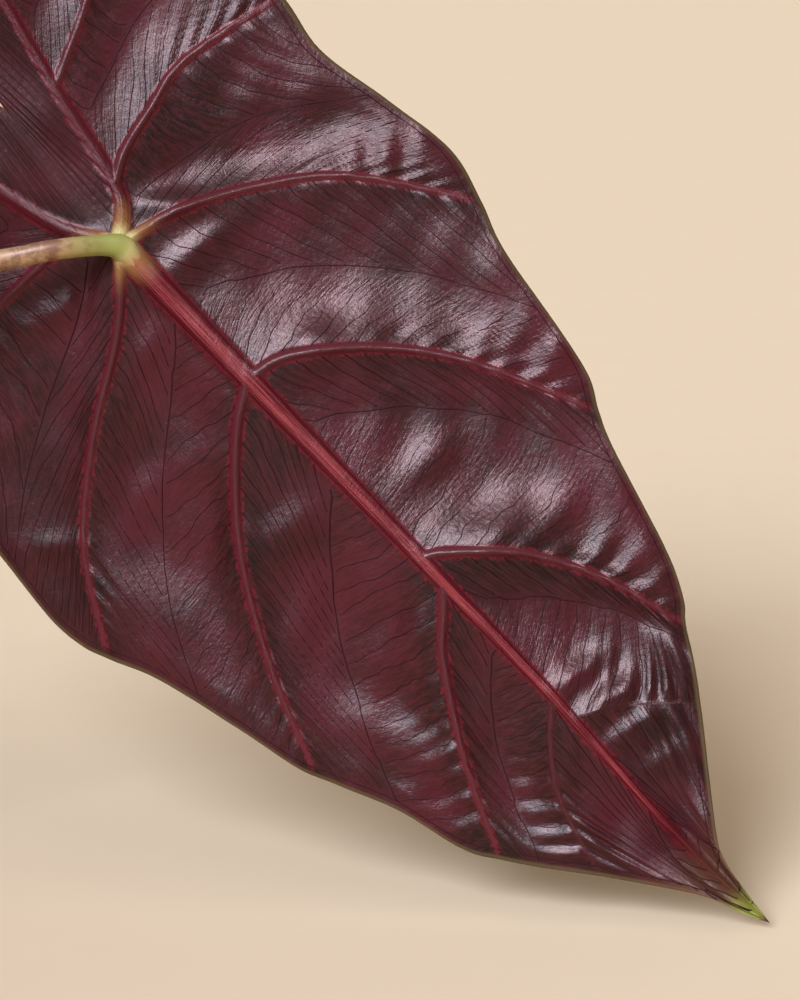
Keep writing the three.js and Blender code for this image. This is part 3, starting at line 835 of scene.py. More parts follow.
def outer_relief(leaf, half, s, a, u, v):
    """Hollows between the laterals, pleats between the secondary veins and the wave of the margin."""
    number, b = half.strip(s)
    span = np.take(half.leaves, number + 1) - np.take(half.leaves, number)
    width = np.minimum(1, span / FULL_STRIP)
    between = np.sin(math.pi * b)
    hollow = -HOLLOW_DEPTH * width * between
    hollow = hollow * np.sin(math.pi * np.minimum(1, a * HOLLOW_SHIFT)) ** HOLLOW_FULLNESS
    slow_wave = SLOW_WAVE * np.sin(2 * math.pi * s / WAVE_LENGTH + leaf["wave_shift"])
    ends = np.clip(np.minimum((BLADE_LENGTH - s) / TIP_CALM, (s + LOBE_LENGTH) / LOBE_CALM), 0, 1)
    wave = leaf["wave"] * a**3 * (width * between - 0.5 + slow_wave) * ends
    cross, _, phase, middle_gap = strip_measures(half, s, a)
    spread = np.clip((a - PLEAT_START) / PLEAT_RISE, 0, 1) * np.clip((PLEAT_STOP - a) / PLEAT_FALL, 0, 1)
    beside = np.exp(-((cross / PLEAT_REACH) ** 2)) * np.clip(cross / PLEAT_FOOT, 0, 1)
    depth = PLEAT_DEPTH + PLEAT_DEPTH_BESIDE_VEIN * spread * beside
    pleat = (0.5 - 0.5 * np.cos(2 * math.pi * phase)) * depth
    pleat = pleat * np.clip(middle_gap / PLEAT_CALM_MIDDLE, 0, 1)
    quilt = leaf["quilt"] * waviness(u, v, QUILT_SEED, leaf["quilt_length"])
    quilt = quilt * np.clip(between * QUILT_CALM_SIDES, 0, 1) * np.clip(a * QUILT_CALM_SPINE, 0, 1)
    swell = swelling(u, v) if leaf["name"] == "leaf_1" else 0
    fine = (pleat + quilt) * (0.4 + 0.6 * width) * ends
    return blade_rest(leaf, u, v) + hollow + wave + swell + fine


def swelling(u, v):
    """Where the first leaf swells towards its underside: each a ridge with a place, a run and a height."""
    total = np.zeros_like(u)
    for middle_u, middle_v, long, wide, turn, height in SWELLINGS:
        angle = math.radians(turn)
        du, dv = u - middle_u, v - middle_v
        lengthwise = du * math.cos(angle) + dv * math.sin(angle)
        crosswise = dv * math.cos(angle) - du * math.sin(angle)
        total = total + height * np.exp(-((lengthwise / long) ** 2) - (crosswise / wide) ** 2)
    return SWELLING_HEIGHT * total


class Sheet:
    """Grids of points that share their edges, with what each point measures."""

    NAMES = ("u", "v", "s", "a", "half", "inner", "kind", "cross", "place", "middle_gap", "margin_gap")
    KEYS_PER_MM = 2000

    def __init__(self):
        self.rows = []
        self.quads = []
        self.known = {}

    def add(self, grid, face_up):
        shape = grid["u"].shape
        flat = [grid[name].ravel() for name in self.NAMES]
        ids = np.empty(shape[0] * shape[1], int)
        keys = zip(*(np.round(values * self.KEYS_PER_MM).astype(int).tolist() for values in flat[:2]))
        for k, key in enumerate(keys):
            if key not in self.known:
                self.known[key] = len(self.rows)
                self.rows.append([values[k] for values in flat])
            ids[k] = self.known[key]
        ids = ids.reshape(shape)
        corners = [ids[:-1, :-1], ids[1:, :-1], ids[1:, 1:], ids[:-1, 1:]]
        if not face_up:
            corners.reverse()
        for quad in np.stack([c.ravel() for c in corners], axis=1).tolist():
            ring = [p for k, p in enumerate(quad) if p != quad[k - 1]]
            if len(set(ring)) > 2:
                self.quads.append(ring)

    def measures(self):
        return dict(zip(self.NAMES, np.array(self.rows).T))


def fan_grid(fineness, side, s, inner):
    """One fan of a half blade, outside or inside its spine."""
    half = HALVES[side]
    draw = half.inner if inner else half.outer
    lengths = half.lengths(s, draw)
    half_widths = np.where(s < 0, lobe_rib_half_width(s), midrib_half_width(s))
    a = columns(lengths, half_widths, round((INNER_COLUMNS if inner else OUTER_COLUMNS) * fineness))
    s_grid = np.repeat(s[:, None], a.shape[1], axis=1)
    points = draw(s_grid, a)
    grid = {"u": points[..., 0], "v": points[..., 1], "s": s_grid, "a": a}
    grid["half"] = np.full_like(a, side)
    grid["inner"] = np.full_like(a, inner)
    grid["margin_gap"] = (1 - a) * lengths[:, None]
    if inner:
        reach = a * lengths[:, None]
        grid |= {"kind": np.full_like(a, INNER_KIND), "cross": reach, "place": -s_grid - INNER_LEAN * reach}
        grid["middle_gap"] = np.full_like(a, INNER_MIDDLE_GAP)
    else:
        grid["kind"], _ = half.strip(s_grid)
        grid["cross"], grid["place"], _, grid["middle_gap"] = strip_measures(half, s_grid, a)
    return grid


@functools.cache
def blade_plan(fineness):
    """A blade drawn flat, with what its ribs measure. Leaves of one fineness share it."""
    sheet = Sheet()
    midrib = stations(0, BLADE_LENGTH, HALVES, fineness)
    for side, half in enumerate(HALVES):
        lobe = stations(-LOBE_LENGTH, 0, [half], fineness)
        sheet.add(fan_grid(fineness, side, np.append(lobe, midrib[1:]), inner=False), side == 0)
        sheet.add(fan_grid(fineness, side, lobe, inner=True), side == 1)
    plan = sheet.measures()
    flat = np.stack([plan["u"], plan["v"]], axis=1)
    plan |= zip(("rib_height", "rib_gap", "rib_rank", "rib_width"), rib_fields(flat))
    return plan, flat, sheet.quads


def relief(leaf, plan):
    """Heights of a blade over its flat plan, without its ribs."""
    height = np.empty(len(plan["u"]))
    for side, half in enumerate(HALVES):
        for inner in (0, 1):
            here = (plan["half"] == side) & (plan["inner"] == inner)
            s, a, u, v = (plan[name][here] for name in ("s", "a", "u", "v"))
            height[here] = inner_relief(leaf, s, a, u, v) if inner else outer_relief(leaf, half, s, a, u, v)
    return height


def leaf_axes(leaf):
    facing = leaf["underside"].normalized()
    tipward = (leaf["tipward"] - facing * leaf["tipward"].dot(facing)).normalized()
    return tipward, facing.cross(tipward), facing


def set_out(name, data):
    """An object of its own, at the origin, that shows some data."""
    made = bpy.data.objects.new(name, data)
    bpy.context.collection.objects.link(made)
    return made


def mesh_object(name, points, faces, material_ids=None, materials=(), measures=None):
    """A mesh from points in millimetres, with its materials and measured values."""
    mesh = bpy.data.meshes.new(name)
    mesh.from_pydata((np.asarray(points) * MM).tolist(), [], faces)
    for material in materials:
        mesh.materials.append(material)
    if material_ids is not None:
        mesh.polygons.foreach_set("material_index", material_ids)
    for key, values in (measures or {}).items():
        mesh.attributes.new(key, "FLOAT", "POINT").data.foreach_set("value", np.asarray(values, np.float32))
    mesh.polygons.foreach_set("use_smooth", [True] * len(mesh.polygons))
    mesh.update()
    return set_out(name, mesh)


def blade(leaf, underside, upper_side):
    """One blade: its lower and upper faces on the same grid, joined by a rim."""
    plan, flat, lower = blade_plan(leaf["fineness"])
    rest = relief(leaf, plan)
    tipward, sideways, facing = (np.array(axis) for axis in leaf_axes(leaf))
    size = leaf["size"]
    level = np.array(leaf["attach"]) + size * (flat[:, :1] * tipward + flat[:, 1:] * sideways)
    half_thick = BLADE_THICKNESS / 2 * mix(MARGIN_THICKNESS_SHARE, 1, np.clip(plan["margin_gap"] / 4, 0, 1))
    low = (rest + plan["rib_height"]) * size + half_thick
    high = (rest + plan["rib_height"] * GROOVE_SHARE) * size - half_thick
    points = np.vstack([level + low[:, None] * facing, level + high[:, None] * facing])

    count = len(flat)
    upper = [[corner + count for corner in reversed(quad)] for quad in lower]
    edges = {(quad[k - 1], quad[k]) for quad in lower for k in range(len(quad))}
    rim = [[y, x, x + count, y + count] for x, y in edges if (y, x) not in edges]
    faces = lower + upper + rim
    material_ids = [0] * len(lower) + [1] * len(upper) + [0] * len(rim)
    names = ("rib_gap", "rib_rank", "rib_width", "kind", "cross", "place", "middle_gap", "margin_gap")
    measures = {name: np.tile(plan[name], 2) for name in names}
    measures["along"] = np.tile(plan["u"], 2)
    measures["side"] = np.tile(plan["v"] - midrib_side(plan["u"]), 2)
    name = f"{leaf['name']}_blade_surface"
    made = mesh_object(name, points, faces, material_ids, (underside, upper_side), measures)
    lay_out_for_export(made, np.vstack([flat, flat]), len(lower), len(upper))
    return made


def named_tree(name, inputs, output):
    """An empty geometry tree with named inputs, and a signal from each of them."""
    group = bpy.data.node_groups.new(name, "GeometryNodeTree")
    for label, kind in inputs.items():
        group.interface.new_socket(label, in_out="INPUT", socket_type=f"NodeSocket{kind}")
    group.interface.new_socket(output, in_out="OUTPUT", socket_type="NodeSocketGeometry")
    tree = Tree(group)
    given = group.nodes.new("NodeGroupInput")
    return tree, [Signal(tree, given.outputs[k]) for k in range(len(inputs))]


def end_tree(tree, shape, skin):
    """Ends a geometry tree in a shape made real, with one material."""
    whole = tree.node("GeometryNodeRealizeInstances", None, {0: shape})
    tree.node("NodeGroupOutput", None, {0: tree.node("GeometryNodeSetMaterial", None, {0: whole, 2: skin})})
    return tree.tree


def grown(base, group, given):
    """The plain mesh that a geometry tree makes of an object, which is then taken away."""
    growth = base.modifiers.new("growth", "NODES")
    growth.node_group = group
    sockets = {item.name: item.identifier for item in group.interface.items_tree if item.in_out == "INPUT"}
    for label, value in given.items():
        growth[sockets[label]] = value
    mesh = bpy.data.meshes.new_from_object(base.evaluated_get(bpy.context.evaluated_depsgraph_get()))
    bpy.data.objects.remove(base)
    return mesh


def tube_tree():
    """Geometry nodes that give a curve a round skin as thick as its radius."""
    inputs = {"Path": "Geometry", "Sides": "Int", "Skin": "Material"}
    tree, (path, sides, skin) = named_tree("round_skin", inputs, "Tube")
    ring = tree.node("GeometryNodeCurvePrimitiveCircle", None, {"Resolution": sides, "Radius": 1})
    radius = tree.node("GeometryNodeInputRadius")
    sockets = {"Curve": path, "Profile Curve": ring, "Fill Caps": True, "Scale": radius}
    return end_tree(tree, tree.node("GeometryNodeCurveToMesh", None, sockets), skin)


def tubes(name, runs, sides, material):
    """One mesh of round tubes, each from its points in millimetres and its radii."""
    curve = bpy.data.curves.new(name, "CURVE")
    curve.dimensions = "3D"
    for points, radii in runs:
        line = curve.splines.new("POLY")
        line.points.add(len(points) - 1)
        placed = np.column_stack([np.asarray(points) * MM, np.ones(len(points))])
        line.points.foreach_set("co", placed.astype(np.float32).ravel())
        line.points.foreach_set("radius", (np.asarray(radii) * MM).astype(np.float32))
    mesh = grown(set_out(f"{name}_path", curve), tube_tree(), {"Sides": sides, "Skin": material})
    mesh.polygons.foreach_set("use_smooth", [True] * len(mesh.polygons))
    return set_out(name, mesh)


@functools.cache
def vein_plan(thinnest, every):
    """The fine veins drawn flat, for each fan: where they run, the ribs' height there and how wide they are.

    They are the secondary veins, the lines that gather them and the one that follows the margin.
    """
    rng = np.random.default_rng(3)
    fans = []
    for half in HALVES:
        ends = (MARGIN_VEIN_START - LOBE_LENGTH, BLADE_LENGTH - MARGIN_VEIN_STOP)
        around = np.linspace(*ends, MARGIN_VEIN_POINTS)
        found = [(around, 1 - np.minimum(MARGIN_VEIN_INSET / half.lengths(around), 0.4), *MARGIN_VEIN)]
        for strip in half.strips:
            found += strip.network(rng)
        inward = np.linspace(*LOBE_VEIN_SHARES, 28)
        places = np.arange(*LOBE_VEIN_PLACES, -LOBE_VEIN_SPACING)
        bend = LOBE_VEIN_LEAN * inward**LOBE_VEIN_BEND
        behind = [(place - bend, inward, *LOBE_VEIN) for place in places]
        for group, inner in ((found, False), (behind, True)):
            group = [run for run in group if run[2] >= thinnest]
            s, a = (np.concatenate([run[k] for run in group]) for k in range(2))
            widths = np.concatenate([np.linspace(start, end, len(run_s)) for run_s, _, start, end in group])
            ribs, gap, _, _ = rib_fields(half.inner(s, a) if inner else half.outer(s, a))
            kept = []
            first = 0
            for run_s, _, start, end in group:
                places = np.arange(first, first + len(run_s))
                first += len(run_s)
                if (start, end) not in (MARGIN_VEIN, GATHERING_VEIN):
                    places = places[gap[places] > VEIN_CLEARANCE][::every]
                if len(places) > 2:
                    kept.append(places)
            splits = np.cumsum([len(places) for places in kept])[:-1]
            kept = np.concatenate(kept)
            fans.append((half, inner, s[kept], a[kept], ribs[kept], widths[kept], splits))
    return fans


def fine_veins(leaf, material, side, thinnest, every, slim):
    """Fine veins on the lower face, for side 1, or the upper face, for side -1."""
    tipward, sideways, facing = (np.array(axis) for axis in leaf_axes(leaf))
    size = leaf["size"]
    runs = []
    for half, inner, s, a, ribs, widths, splits in vein_plan(thinnest, every):
        flat = half.inner(s, a) if inner else half.outer(s, a)
        rest = inner_relief(leaf, s, a, *flat.T) if inner else outer_relief(leaf, half, s, a, *flat.T)
        height = (rest + ribs * (1 if side > 0 else GROOVE_SHARE)) * size + side * BLADE_THICKNESS / 2
        level = np.array(leaf["attach"]) + size * (flat[:, :1] * tipward + flat[:, 1:] * sideways)
        placed = level + height[:, None] * facing
        runs += zip(np.split(placed, splits), np.split(widths * size * slim, splits))
    return tubes(f"{leaf['name']}_fine_veins", runs, 5 if side > 0 else 4, material)


def lay_out_for_export(made, flat, lower_count, upper_count):
    """A map with the lower face on the left half of the square and the upper face on the right."""
    layer = made.data.uv_layers.new(name="OFBake")
    loops = np.empty(len(made.data.loops), int)
    made.data.loops.foreach_get("vertex_index", loops)
    starts = np.empty(len(made.data.polygons), int)
    made.data.polygons.foreach_get("loop_start", starts)
    long_side = BLADE_LENGTH + LOBE_LENGTH + 2 * MAP_MARGIN
    x = (flat[loops, 1] + MAP_HALF_WIDTH) / long_side
    y = (flat[loops, 0] + LOBE_LENGTH + MAP_MARGIN) / long_side
    x = x * MAP_SHARE + MAP_INSET
    upper_start = starts[lower_count]
    rim_start = starts[lower_count + upper_count] if lower_count + upper_count < len(starts) else len(loops)
    x[upper_start:rim_start] += 0.5
    layer.data.foreach_set("uv", np.stack([x, y], axis=1).ravel())


# Finishes


def along_veins(f, cross, place_scale, cross_scale):
    """Fine fibres that run beside the secondary veins, and how calm they are near middle and margin."""
    vector = {0: f.measure("place") * place_scale, 1: cross * cross_scale, 2: f.measure("kind") * KIND_STEP}
    fibres = f.noise(f.node("ShaderNodeCombineXYZ", None, vector), 1, 3, 0.6)
    calm = f.smooth(f.measure("middle_gap"), 0.4, 5) * f.smooth(f.measure("margin_gap"), 2, 6)
    return fibres, calm


def leaf_underside():
    """Brown and burgundy lamina with red beside its ribs, and a striped midrib that starts out cream."""
    f = Finish("leaf_underside")
    place = f.place()
    names = ("rib_gap", "rib_rank", "margin_gap", "along", "side", "cross")
    rib_gap, rank, margin_gap, along, side, cross = f.measures(*names)
    fibres, calm = along_veins(f, cross, 1.5, 0.3)
    grain = f.noise(place, 900, 3, 0.6)
    mottle = f.noise(place, 34, 3, 0.55)
    bloom = f.noise(place, 90, 2, 0.5)

    # The lamina is browner and darker close to its laterals: partly its own brown, partly painted shade of
    # the hollows beside the veins.
    lamina = f.node(
        "ShaderNodeValToRGB",
        {"stops": [(0.35, colour(25, 14, 9)), (0.5, colour(48, 16, 16)), (0.65, colour(70, 19, 27))]},
        {"Fac": mottle * 0.7 + bloom * 0.25 + f.smooth(cross, 0, 14) * 0.12 - 0.035},
        out="Color",
    )
    lamina = f.blend(f.smooth(fibres, 0.35, 0.7) * 0.4, lamina, colour(92, 32, 42))
    fringe = 1 - f.smooth(rib_gap + (grain - 0.5) * 3.4 + (fibres - 0.5) * 2, 0, 0.9)
    lamina = f.blend(fringe * f.smooth(rank, 0.12, 0.42) * 0.6, lamina, colour(118, 26, 42))

    lines = f.node("ShaderNodeCombineXYZ", None, {0: along * 0.05, 1: side * 3.2, 2: 0.0})
    striation = f.noise(lines, 1, 3, 0.6)
    midrib = f.blend(f.smooth(striation, 0.4, 0.6), colour(92, 18, 30), colour(152, 62, 66))
    # The midrib is deep red towards its flanks and paler at its crest: partly its own colour, partly painted
    # shade on its rounded sides.
    crest = 1 - f.smooth(abs(side) / f.measure("rib_width"), 0.35, 0.85)
    midrib = f.blend(crest, colour(78, 8, 22), midrib)
    rib = f.blend(f.smooth(rank, 0.55, 0.9), colour(86, 36, 42), midrib)
    rib = f.blend(f.smooth(rank, 0.08, 0.35), colour(58, 20, 22), rib)
    skin = f.blend(1 - f.smooth(rib_gap, -0.3, 0.05), lamina, rib)

    to_junction = (along * along + side * side) ** 0.5
    near = 1 - f.smooth(to_junction + striation * 4, 6, 15)
    on_rib = 1 - f.smooth(rib_gap, -0.6, 0.6)
    skin = f.blend(near * on_rib * 0.8, skin, colour(160, 112, 68))
    cream = 1 - f.smooth(to_junction + striation * 3, 3.5, 7.5)
    skin = f.blend(cream * on_rib, skin, colour(206, 190, 130))
    skin = f.blend((1 - f.smooth(margin_gap, 0.5, 1.5)) * 0.8, skin, colour(92, 76, 50))
    skin = f.blend(f.smooth(along + grain * 6, 188, 206) * 0.7, skin, colour(104, 72, 54))
    skin = f.blend(f.smooth(along + grain * 4, 205, 213), skin, colour(142, 142, 66))
    skin = f.blend(f.smooth(along, 213, 215), skin, colour(72, 40, 30))

    leather = f.noise(place, 420, 4, 0.65, 0.6)
    relief = f.bump(grain, 0.00014, 0.7)
    relief = f.bump(leather, 0.0003, 0.3, relief)
    relief = f.bump(fibres * calm, 0.0003, 0.4, relief)
    relief = f.bump(striation, 0.0004, f.smooth(rank, 0.55, 0.9) * on_rib, relief)
    return f.surface(Base_Color=skin, Roughness=0.27 + 0.12 * grain, Normal=relief, Specular_IOR_Level=0.22)


def vein_skin(name, first, second, rough, gloss):
    """The thin veins, dark below and pale above, mottled from one colour to another."""
    f = Finish(name)
    tint = f.blend(f.noise(f.place(), 300, 3), first, second)
    relief = f.bump(f.noise(f.place(), 900, 2), 0.0001, 0.3)
    return f.surface(Base_Color=tint, Roughness=rough, Normal=relief, Specular_IOR_Level=gloss)


def leaf_upper_side():
    """Glossy dark green, lighter beside the veins, with pale green ribs that blush where they meet."""
    f = Finish("leaf_upper_side")
    place = f.place()
    names = ("rib_gap", "rib_rank", "margin_gap", "along", "side", "cross")
    rib_gap, rank, margin_gap, along, side, cross = f.measures(*names)
    fibres, calm = along_veins(f, cross, 1.2, 0.25)
    mottle = f.noise(place, 26, 3)
    grain = f.noise(place, 700, 3)
    lamina = f.blend(f.smooth(mottle, 0.32, 0.68), colour(20, 38, 24), colour(36, 60, 32))
    lamina = f.blend(f.smooth(fibres, 0.4, 0.7) * calm * 0.45, lamina, colour(52, 80, 42))
    halo = (1 - f.smooth(rib_gap + (grain - 0.5) * 1.6, 0, 3.5)) * f.smooth(rank, 0.2, 0.5)
    lamina = f.blend(halo * 0.5, lamina, colour(62, 92, 48))
    ribs = f.blend(f.smooth(rank, 0.4, 0.8), colour(112, 138, 82), colour(150, 168, 108))
    blush = 1 - f.smooth((along * along + side * side) ** 0.5, 3, 22)
    ribs = f.blend(blush * 0.7, ribs, colour(176, 92, 78))
    skin = f.blend(1 - f.smooth(rib_gap, -0.7, 0.2), lamina, ribs)
    skin = f.blend((1 - f.smooth(margin_gap, 0.3, 1.3)) * 0.7, skin, colour(96, 112, 62))
    skin = f.blend(f.smooth(along, 209, 214), skin, colour(112, 92, 52))
    relief = f.bump(grain, 0.00008, 0.6)
    relief = f.bump(fibres * calm, 0.0005, 0.8, relief)
    return f.surface(Base_Color=skin, Roughness=0.24 + 0.16 * grain, Normal=relief, Specular_IOR_Level=0.5)


def petiole_skin():
    """Tan flecked with brown, greener towards the blade and reddish where it runs into the midrib."""
    f = Finish("petiole_skin")
    place = f.place()
    to_blade = f.measure("to_blade")
    mottle = f.noise(place, 160, 4, 0.7)
    flecks = f.noise(place, 420, 3, 0.6)
    stalk = f.blend(f.smooth(mottle, 0.42, 0.6), colour(174, 136, 98), colour(128, 88, 62))
    stalk = f.blend(f.smooth(flecks, 0.58, 0.68) * 0.4, stalk, colour(100, 60, 44))
    stalk = f.blend(1 - f.smooth(to_blade + mottle * 14, 10, 26), stalk, colour(150, 152, 76))
    stalk = f.blend((1 - f.smooth(to_blade + mottle * 3, 0, 4)) * 0.8, stalk, colour(204, 190, 128))
    stalk = f.blend(1 - f.smooth(to_blade + mottle * 4, -4, 2), stalk, colour(164, 104, 70))
    stalk = f.blend(1 - f.smooth(to_blade + mottle * 4, -9, -3), stalk, colour(140, 52, 56))
    relief = f.bump(mottle, 0.0002, 0.4)
    return f.surface(Base_Color=stalk, Roughness=0.42, Normal=relief)


def terracotta():
    """Fired clay: turning lines, clouds of darker tone, darker towards the bottom and a pale bloom of salts.
    """
    f = Finish("terracotta")
    place = f.place()
    height = f.node("ShaderNodeSeparateXYZ", None, {0: place}, out=2)
    cloud = f.noise(place, 22, 5, 0.6)
    patches = f.noise(place, 38, 6, 0.65, 0.4)
    grit = f.noise(place, 520, 3)
    turning = f.node("ShaderNodeCombineXYZ", None, {2: height * 420 + cloud * 1.5})
    lines = f.noise(turning, 1, 3, 0.6)
    clay = f.blend(f.smooth(cloud, 0.3, 0.7), colour(170, 96, 64), colour(198, 124, 88))
    clay = f.blend(f.smooth(lines, 0.5, 0.7) * 0.25, clay, colour(206, 140, 104))
    clay = f.blend(f.smooth(grit, 0.6, 0.75) * 0.45, clay, colour(216, 160, 126))
    clay = f.blend(f.smooth(grit, 0.44, 0.3) * 0.35, clay, colour(126, 66, 44))
    bloom = f.smooth(patches, 0.54, 0.7) * (1 - f.smooth(height, 0.01, 0.07))
    clay = f.blend(bloom * 0.55, clay, colour(224, 200, 176))
    rim_bloom = f.smooth(patches, 0.56, 0.68) * f.smooth(height, 0.1, 0.122)
    clay = f.blend(rim_bloom * 0.4, clay, colour(222, 190, 162))
    # Darker towards the bottom.
    clay = f.blend(f.smooth(height, 0.013, 0.001) * 0.35, clay, colour(120, 76, 54))
    relief = f.bump(lines, 0.0006, 0.4)
    relief = f.bump(grit, 0.0003, 0.4, relief)
    return f.surface(Base_Color=clay, Roughness=0.78 + 0.14 * cloud, Normal=relief)


def potting_mix():
    """Dark moist peat with lighter fibres."""
    f = Finish("potting_mix")
    place = f.place()
    clumps = f.noise(place, 300, 6, 0.75)
    fibres = f.noise(place, 900, 3, 0.6, 1.5)
    earth = f.blend(f.smooth(clumps, 0.35, 0.7), colour(26, 17, 11), colour(74, 50, 33))
    earth = f.blend(f.smooth(fibres, 0.6, 0.72) * 0.5, earth, colour(112, 80, 52))
    relief = f.bump(clumps, 0.0025, 0.9)
    return f.surface(Base_Color=earth, Roughness=0.95, Normal=relief, Specular_IOR_Level=0.12)


def chip_skin():
    """Composted bark."""
    f = Finish("chip_skin")
    place = f.place()
    layers = f.noise(place, 420, 4, 0.7, 0.6)
    tone = f.noise(place, 60, 2)
    bark = f.blend(f.smooth(tone, 0.35, 0.65), colour(70, 44, 28), colour(122, 84, 54))
    bark = f.blend(f.smooth(layers, 0.4, 0.65) * 0.6, bark, colour(50, 32, 22))
    relief = f.bump(layers, 0.0008, 0.7)
    return f.surface(Base_Color=bark, Roughness=0.8, Normal=relief, Specular_IOR_Level=0.25)


def perlite_skin():
    """White puffed grains, dusty with soil."""
    f = Finish("perlite_skin")
    dust = f.noise(f.place(), 300, 4, 0.7)
    grain = f.blend(f.smooth(dust, 0.45, 0.68), colour(226, 222, 212), colour(168, 154, 136))
    relief = f.bump(dust, 0.0006, 0.6)
    return f.surface(Base_Color=grain, Roughness=0.85, Normal=relief)


def stem_bark():
    """Brown bark of old leaf scars, with dry fibres that run round it."""
    f = Finish("stem_bark")
    place = f.place()
    height = f.node("ShaderNodeSeparateXYZ", None, {0: place}, out=2)
    fibres = f.noise(place, 320, 4, 0.7)
    stretched = f.node("ShaderNodeVectorMath", {"operation": "MULTIPLY"}, {0: place, 1: (180, 180, 1400)})
    rings = f.noise(stretched, 1, 3, 0.6)
    bark = f.blend(f.smooth(fibres, 0.35, 0.65), colour(84, 58, 38), colour(136, 106, 74))
    bark = f.blend(f.smooth(rings, 0.5, 0.66) * 0.6, bark, colour(58, 38, 26))
    bark = f.blend(f.smooth(height + fibres * 0.003, 0.1215, 0.1245) * 0.8, bark, colour(164, 132, 92))
    relief = f.bump(rings, 0.0007, 0.7)
    relief = f.bump(fibres, 0.0005, 0.6, relief)
    return f.surface(Base_Color=bark, Roughness=0.75, Normal=relief)


# Petioles


def petiole_knots(leaf):
    """Points down the middle of a petiole, from its socket to just inside the blade."""
    tipward, _, facing = leaf_axes(leaf)
    base = heading(leaf["base_azimuth"]) * PETIOLE_RING + Vector((0, 0, STEM_TOP - SOCKET_DEPTH))
    seat = MIDRIB_HEIGHT * leaf["size"] + BLADE_THICKNESS / 2 + FIT_GAP
    end = leaf["attach"] + facing * seat
    if leaf["route"]:
        root = leaf["attach"]
        into_rib = [
            root + facing * 2.4 - heading(37) * 3,
            root + facing * 1.9 + tipward * 1.8,
            root + facing * 1.1 + tipward * 6.5,
            root - facing * 0.6 + tipward * 15,
        ]
        knots = [base, *(Vector(knot) for knot in leaf["route"]), *into_rib]
        return evenly([tuple(knot) for knot in knots])(np.linspace(0, 1, PETIOLE_POINTS))
    rise = end.z - base.z
    lift = base + heading(leaf["base_azimuth"]) * 6
    lift.z = base.z + 0.45 * rise
    arrive = end + facing * 0.3 * rise
    t = np.linspace(0, 1, PETIOLE_POINTS)[:, None]
    corners = [np.array(corner) for corner in (base, lift, arrive, end)]
    weights = [(1 - t) ** 3, 3 * t * (1 - t) ** 2, 3 * t**2 * (1 - t), t**3]
    return sum(weight * corner for weight, corner in zip(weights, corners))


def petiole(leaf, material):
    """A stalk that narrows upwards and flares where it joins the blade."""
    knots = petiole_knots(leaf)
    _, _, facing = leaf_axes(leaf)
    if not leaf["route"]:
        inside = [knots[-1] - np.array(facing) * depth for depth in PETIOLE_END_DEPTHS]
        knots = np.vstack([knots, *inside])
    slim = PETIOLE_TIP_RADIUS * (0.55 + 0.45 * leaf["size"])
    lengths = np.concatenate([[0], np.cumsum(np.linalg.norm(np.diff(knots, axis=0), axis=1))])
    joint = lengths[np.argmin(np.linalg.norm(knots - np.array(leaf["attach"]), axis=1))]
    to_blade = joint - lengths
    share = np.clip(lengths / joint, 0, 1)
    flare = PETIOLE_FLARE * leaf["size"] * np.exp(-((to_blade / PETIOLE_FLARE_REACH) ** 2))
    radii = slim + (PETIOLE_BASE_RADIUS - slim) * (1 - share) ** PETIOLE_TAPER + flare
    radii = radii - PETIOLE_END_TAPER * np.clip(-to_blade, 0, 20)
    sides = 28 if leaf["route"] else 16
    made = tubes(f"{leaf['name']}_petiole_stalk", [(knots, radii)], sides, material)
    values = np.repeat(to_blade, sides).astype(np.float32)
    made.data.attributes.new("to_blade", "FLOAT", "POINT").data.foreach_set("value", values)
    return made


# Pot, soil and stem


def turned(name, profile, sides, material):
    """A closed shape turned round the Z axis from its profile, which starts and ends on it."""
    points, faces = [], []
    rings = []
    for radius, z in profile:
        if radius < 1e-6:
            rings.append([len(points)])
            points.append((0, 0, z))
        else:
            rings.append(list(range(len(points), len(points) + sides)))
            for k in range(sides):
                angle = 2 * math.pi * k / sides
                points.append((radius * math.cos(angle), radius * math.sin(angle), z))
    for low, high in zip(rings[:-1], rings[1:]):
        for k in range(sides):
            here = [(low, k), (low, k + 1), (high, k + 1), (high, k)]
            here = [ring[j % len(ring)] for ring, j in here]
            faces.append([p for j, p in enumerate(here) if p != here[j - 1]])
    return mesh_object(name, points, faces, None, (material,))


def pot_inner_radius(z):
    bottom = POT_BASE_RADIUS - POT_WALL
    top = POT_RIM_RADIUS - POT_WALL
    return bottom + (top - bottom) * (z - POT_FLOOR) / (POT_HEIGHT - POT_FLOOR)


def rounded(profile, radius, steps=5):
    """The profile with its corners rounded off."""
    points = [np.array(point, float) for point in profile]
    drawn = [profile[0]]
    for before, corner, after in zip(points[:-2], points[1:-1], points[2:]):
        back, ahead = before - corner, after - corner
        reach = min(radius, 0.45 * np.linalg.norm(back), 0.45 * np.linalg.norm(ahead))
        start = corner + back / np.linalg.norm(back) * reach
        end = corner + ahead / np.linalg.norm(ahead) * reach
        for t in np.linspace(0, 1, steps):
            drawn.append(tuple((1 - t) ** 2 * start + 2 * t * (1 - t) * corner + t**2 * end))
    return [*drawn, profile[-1]]


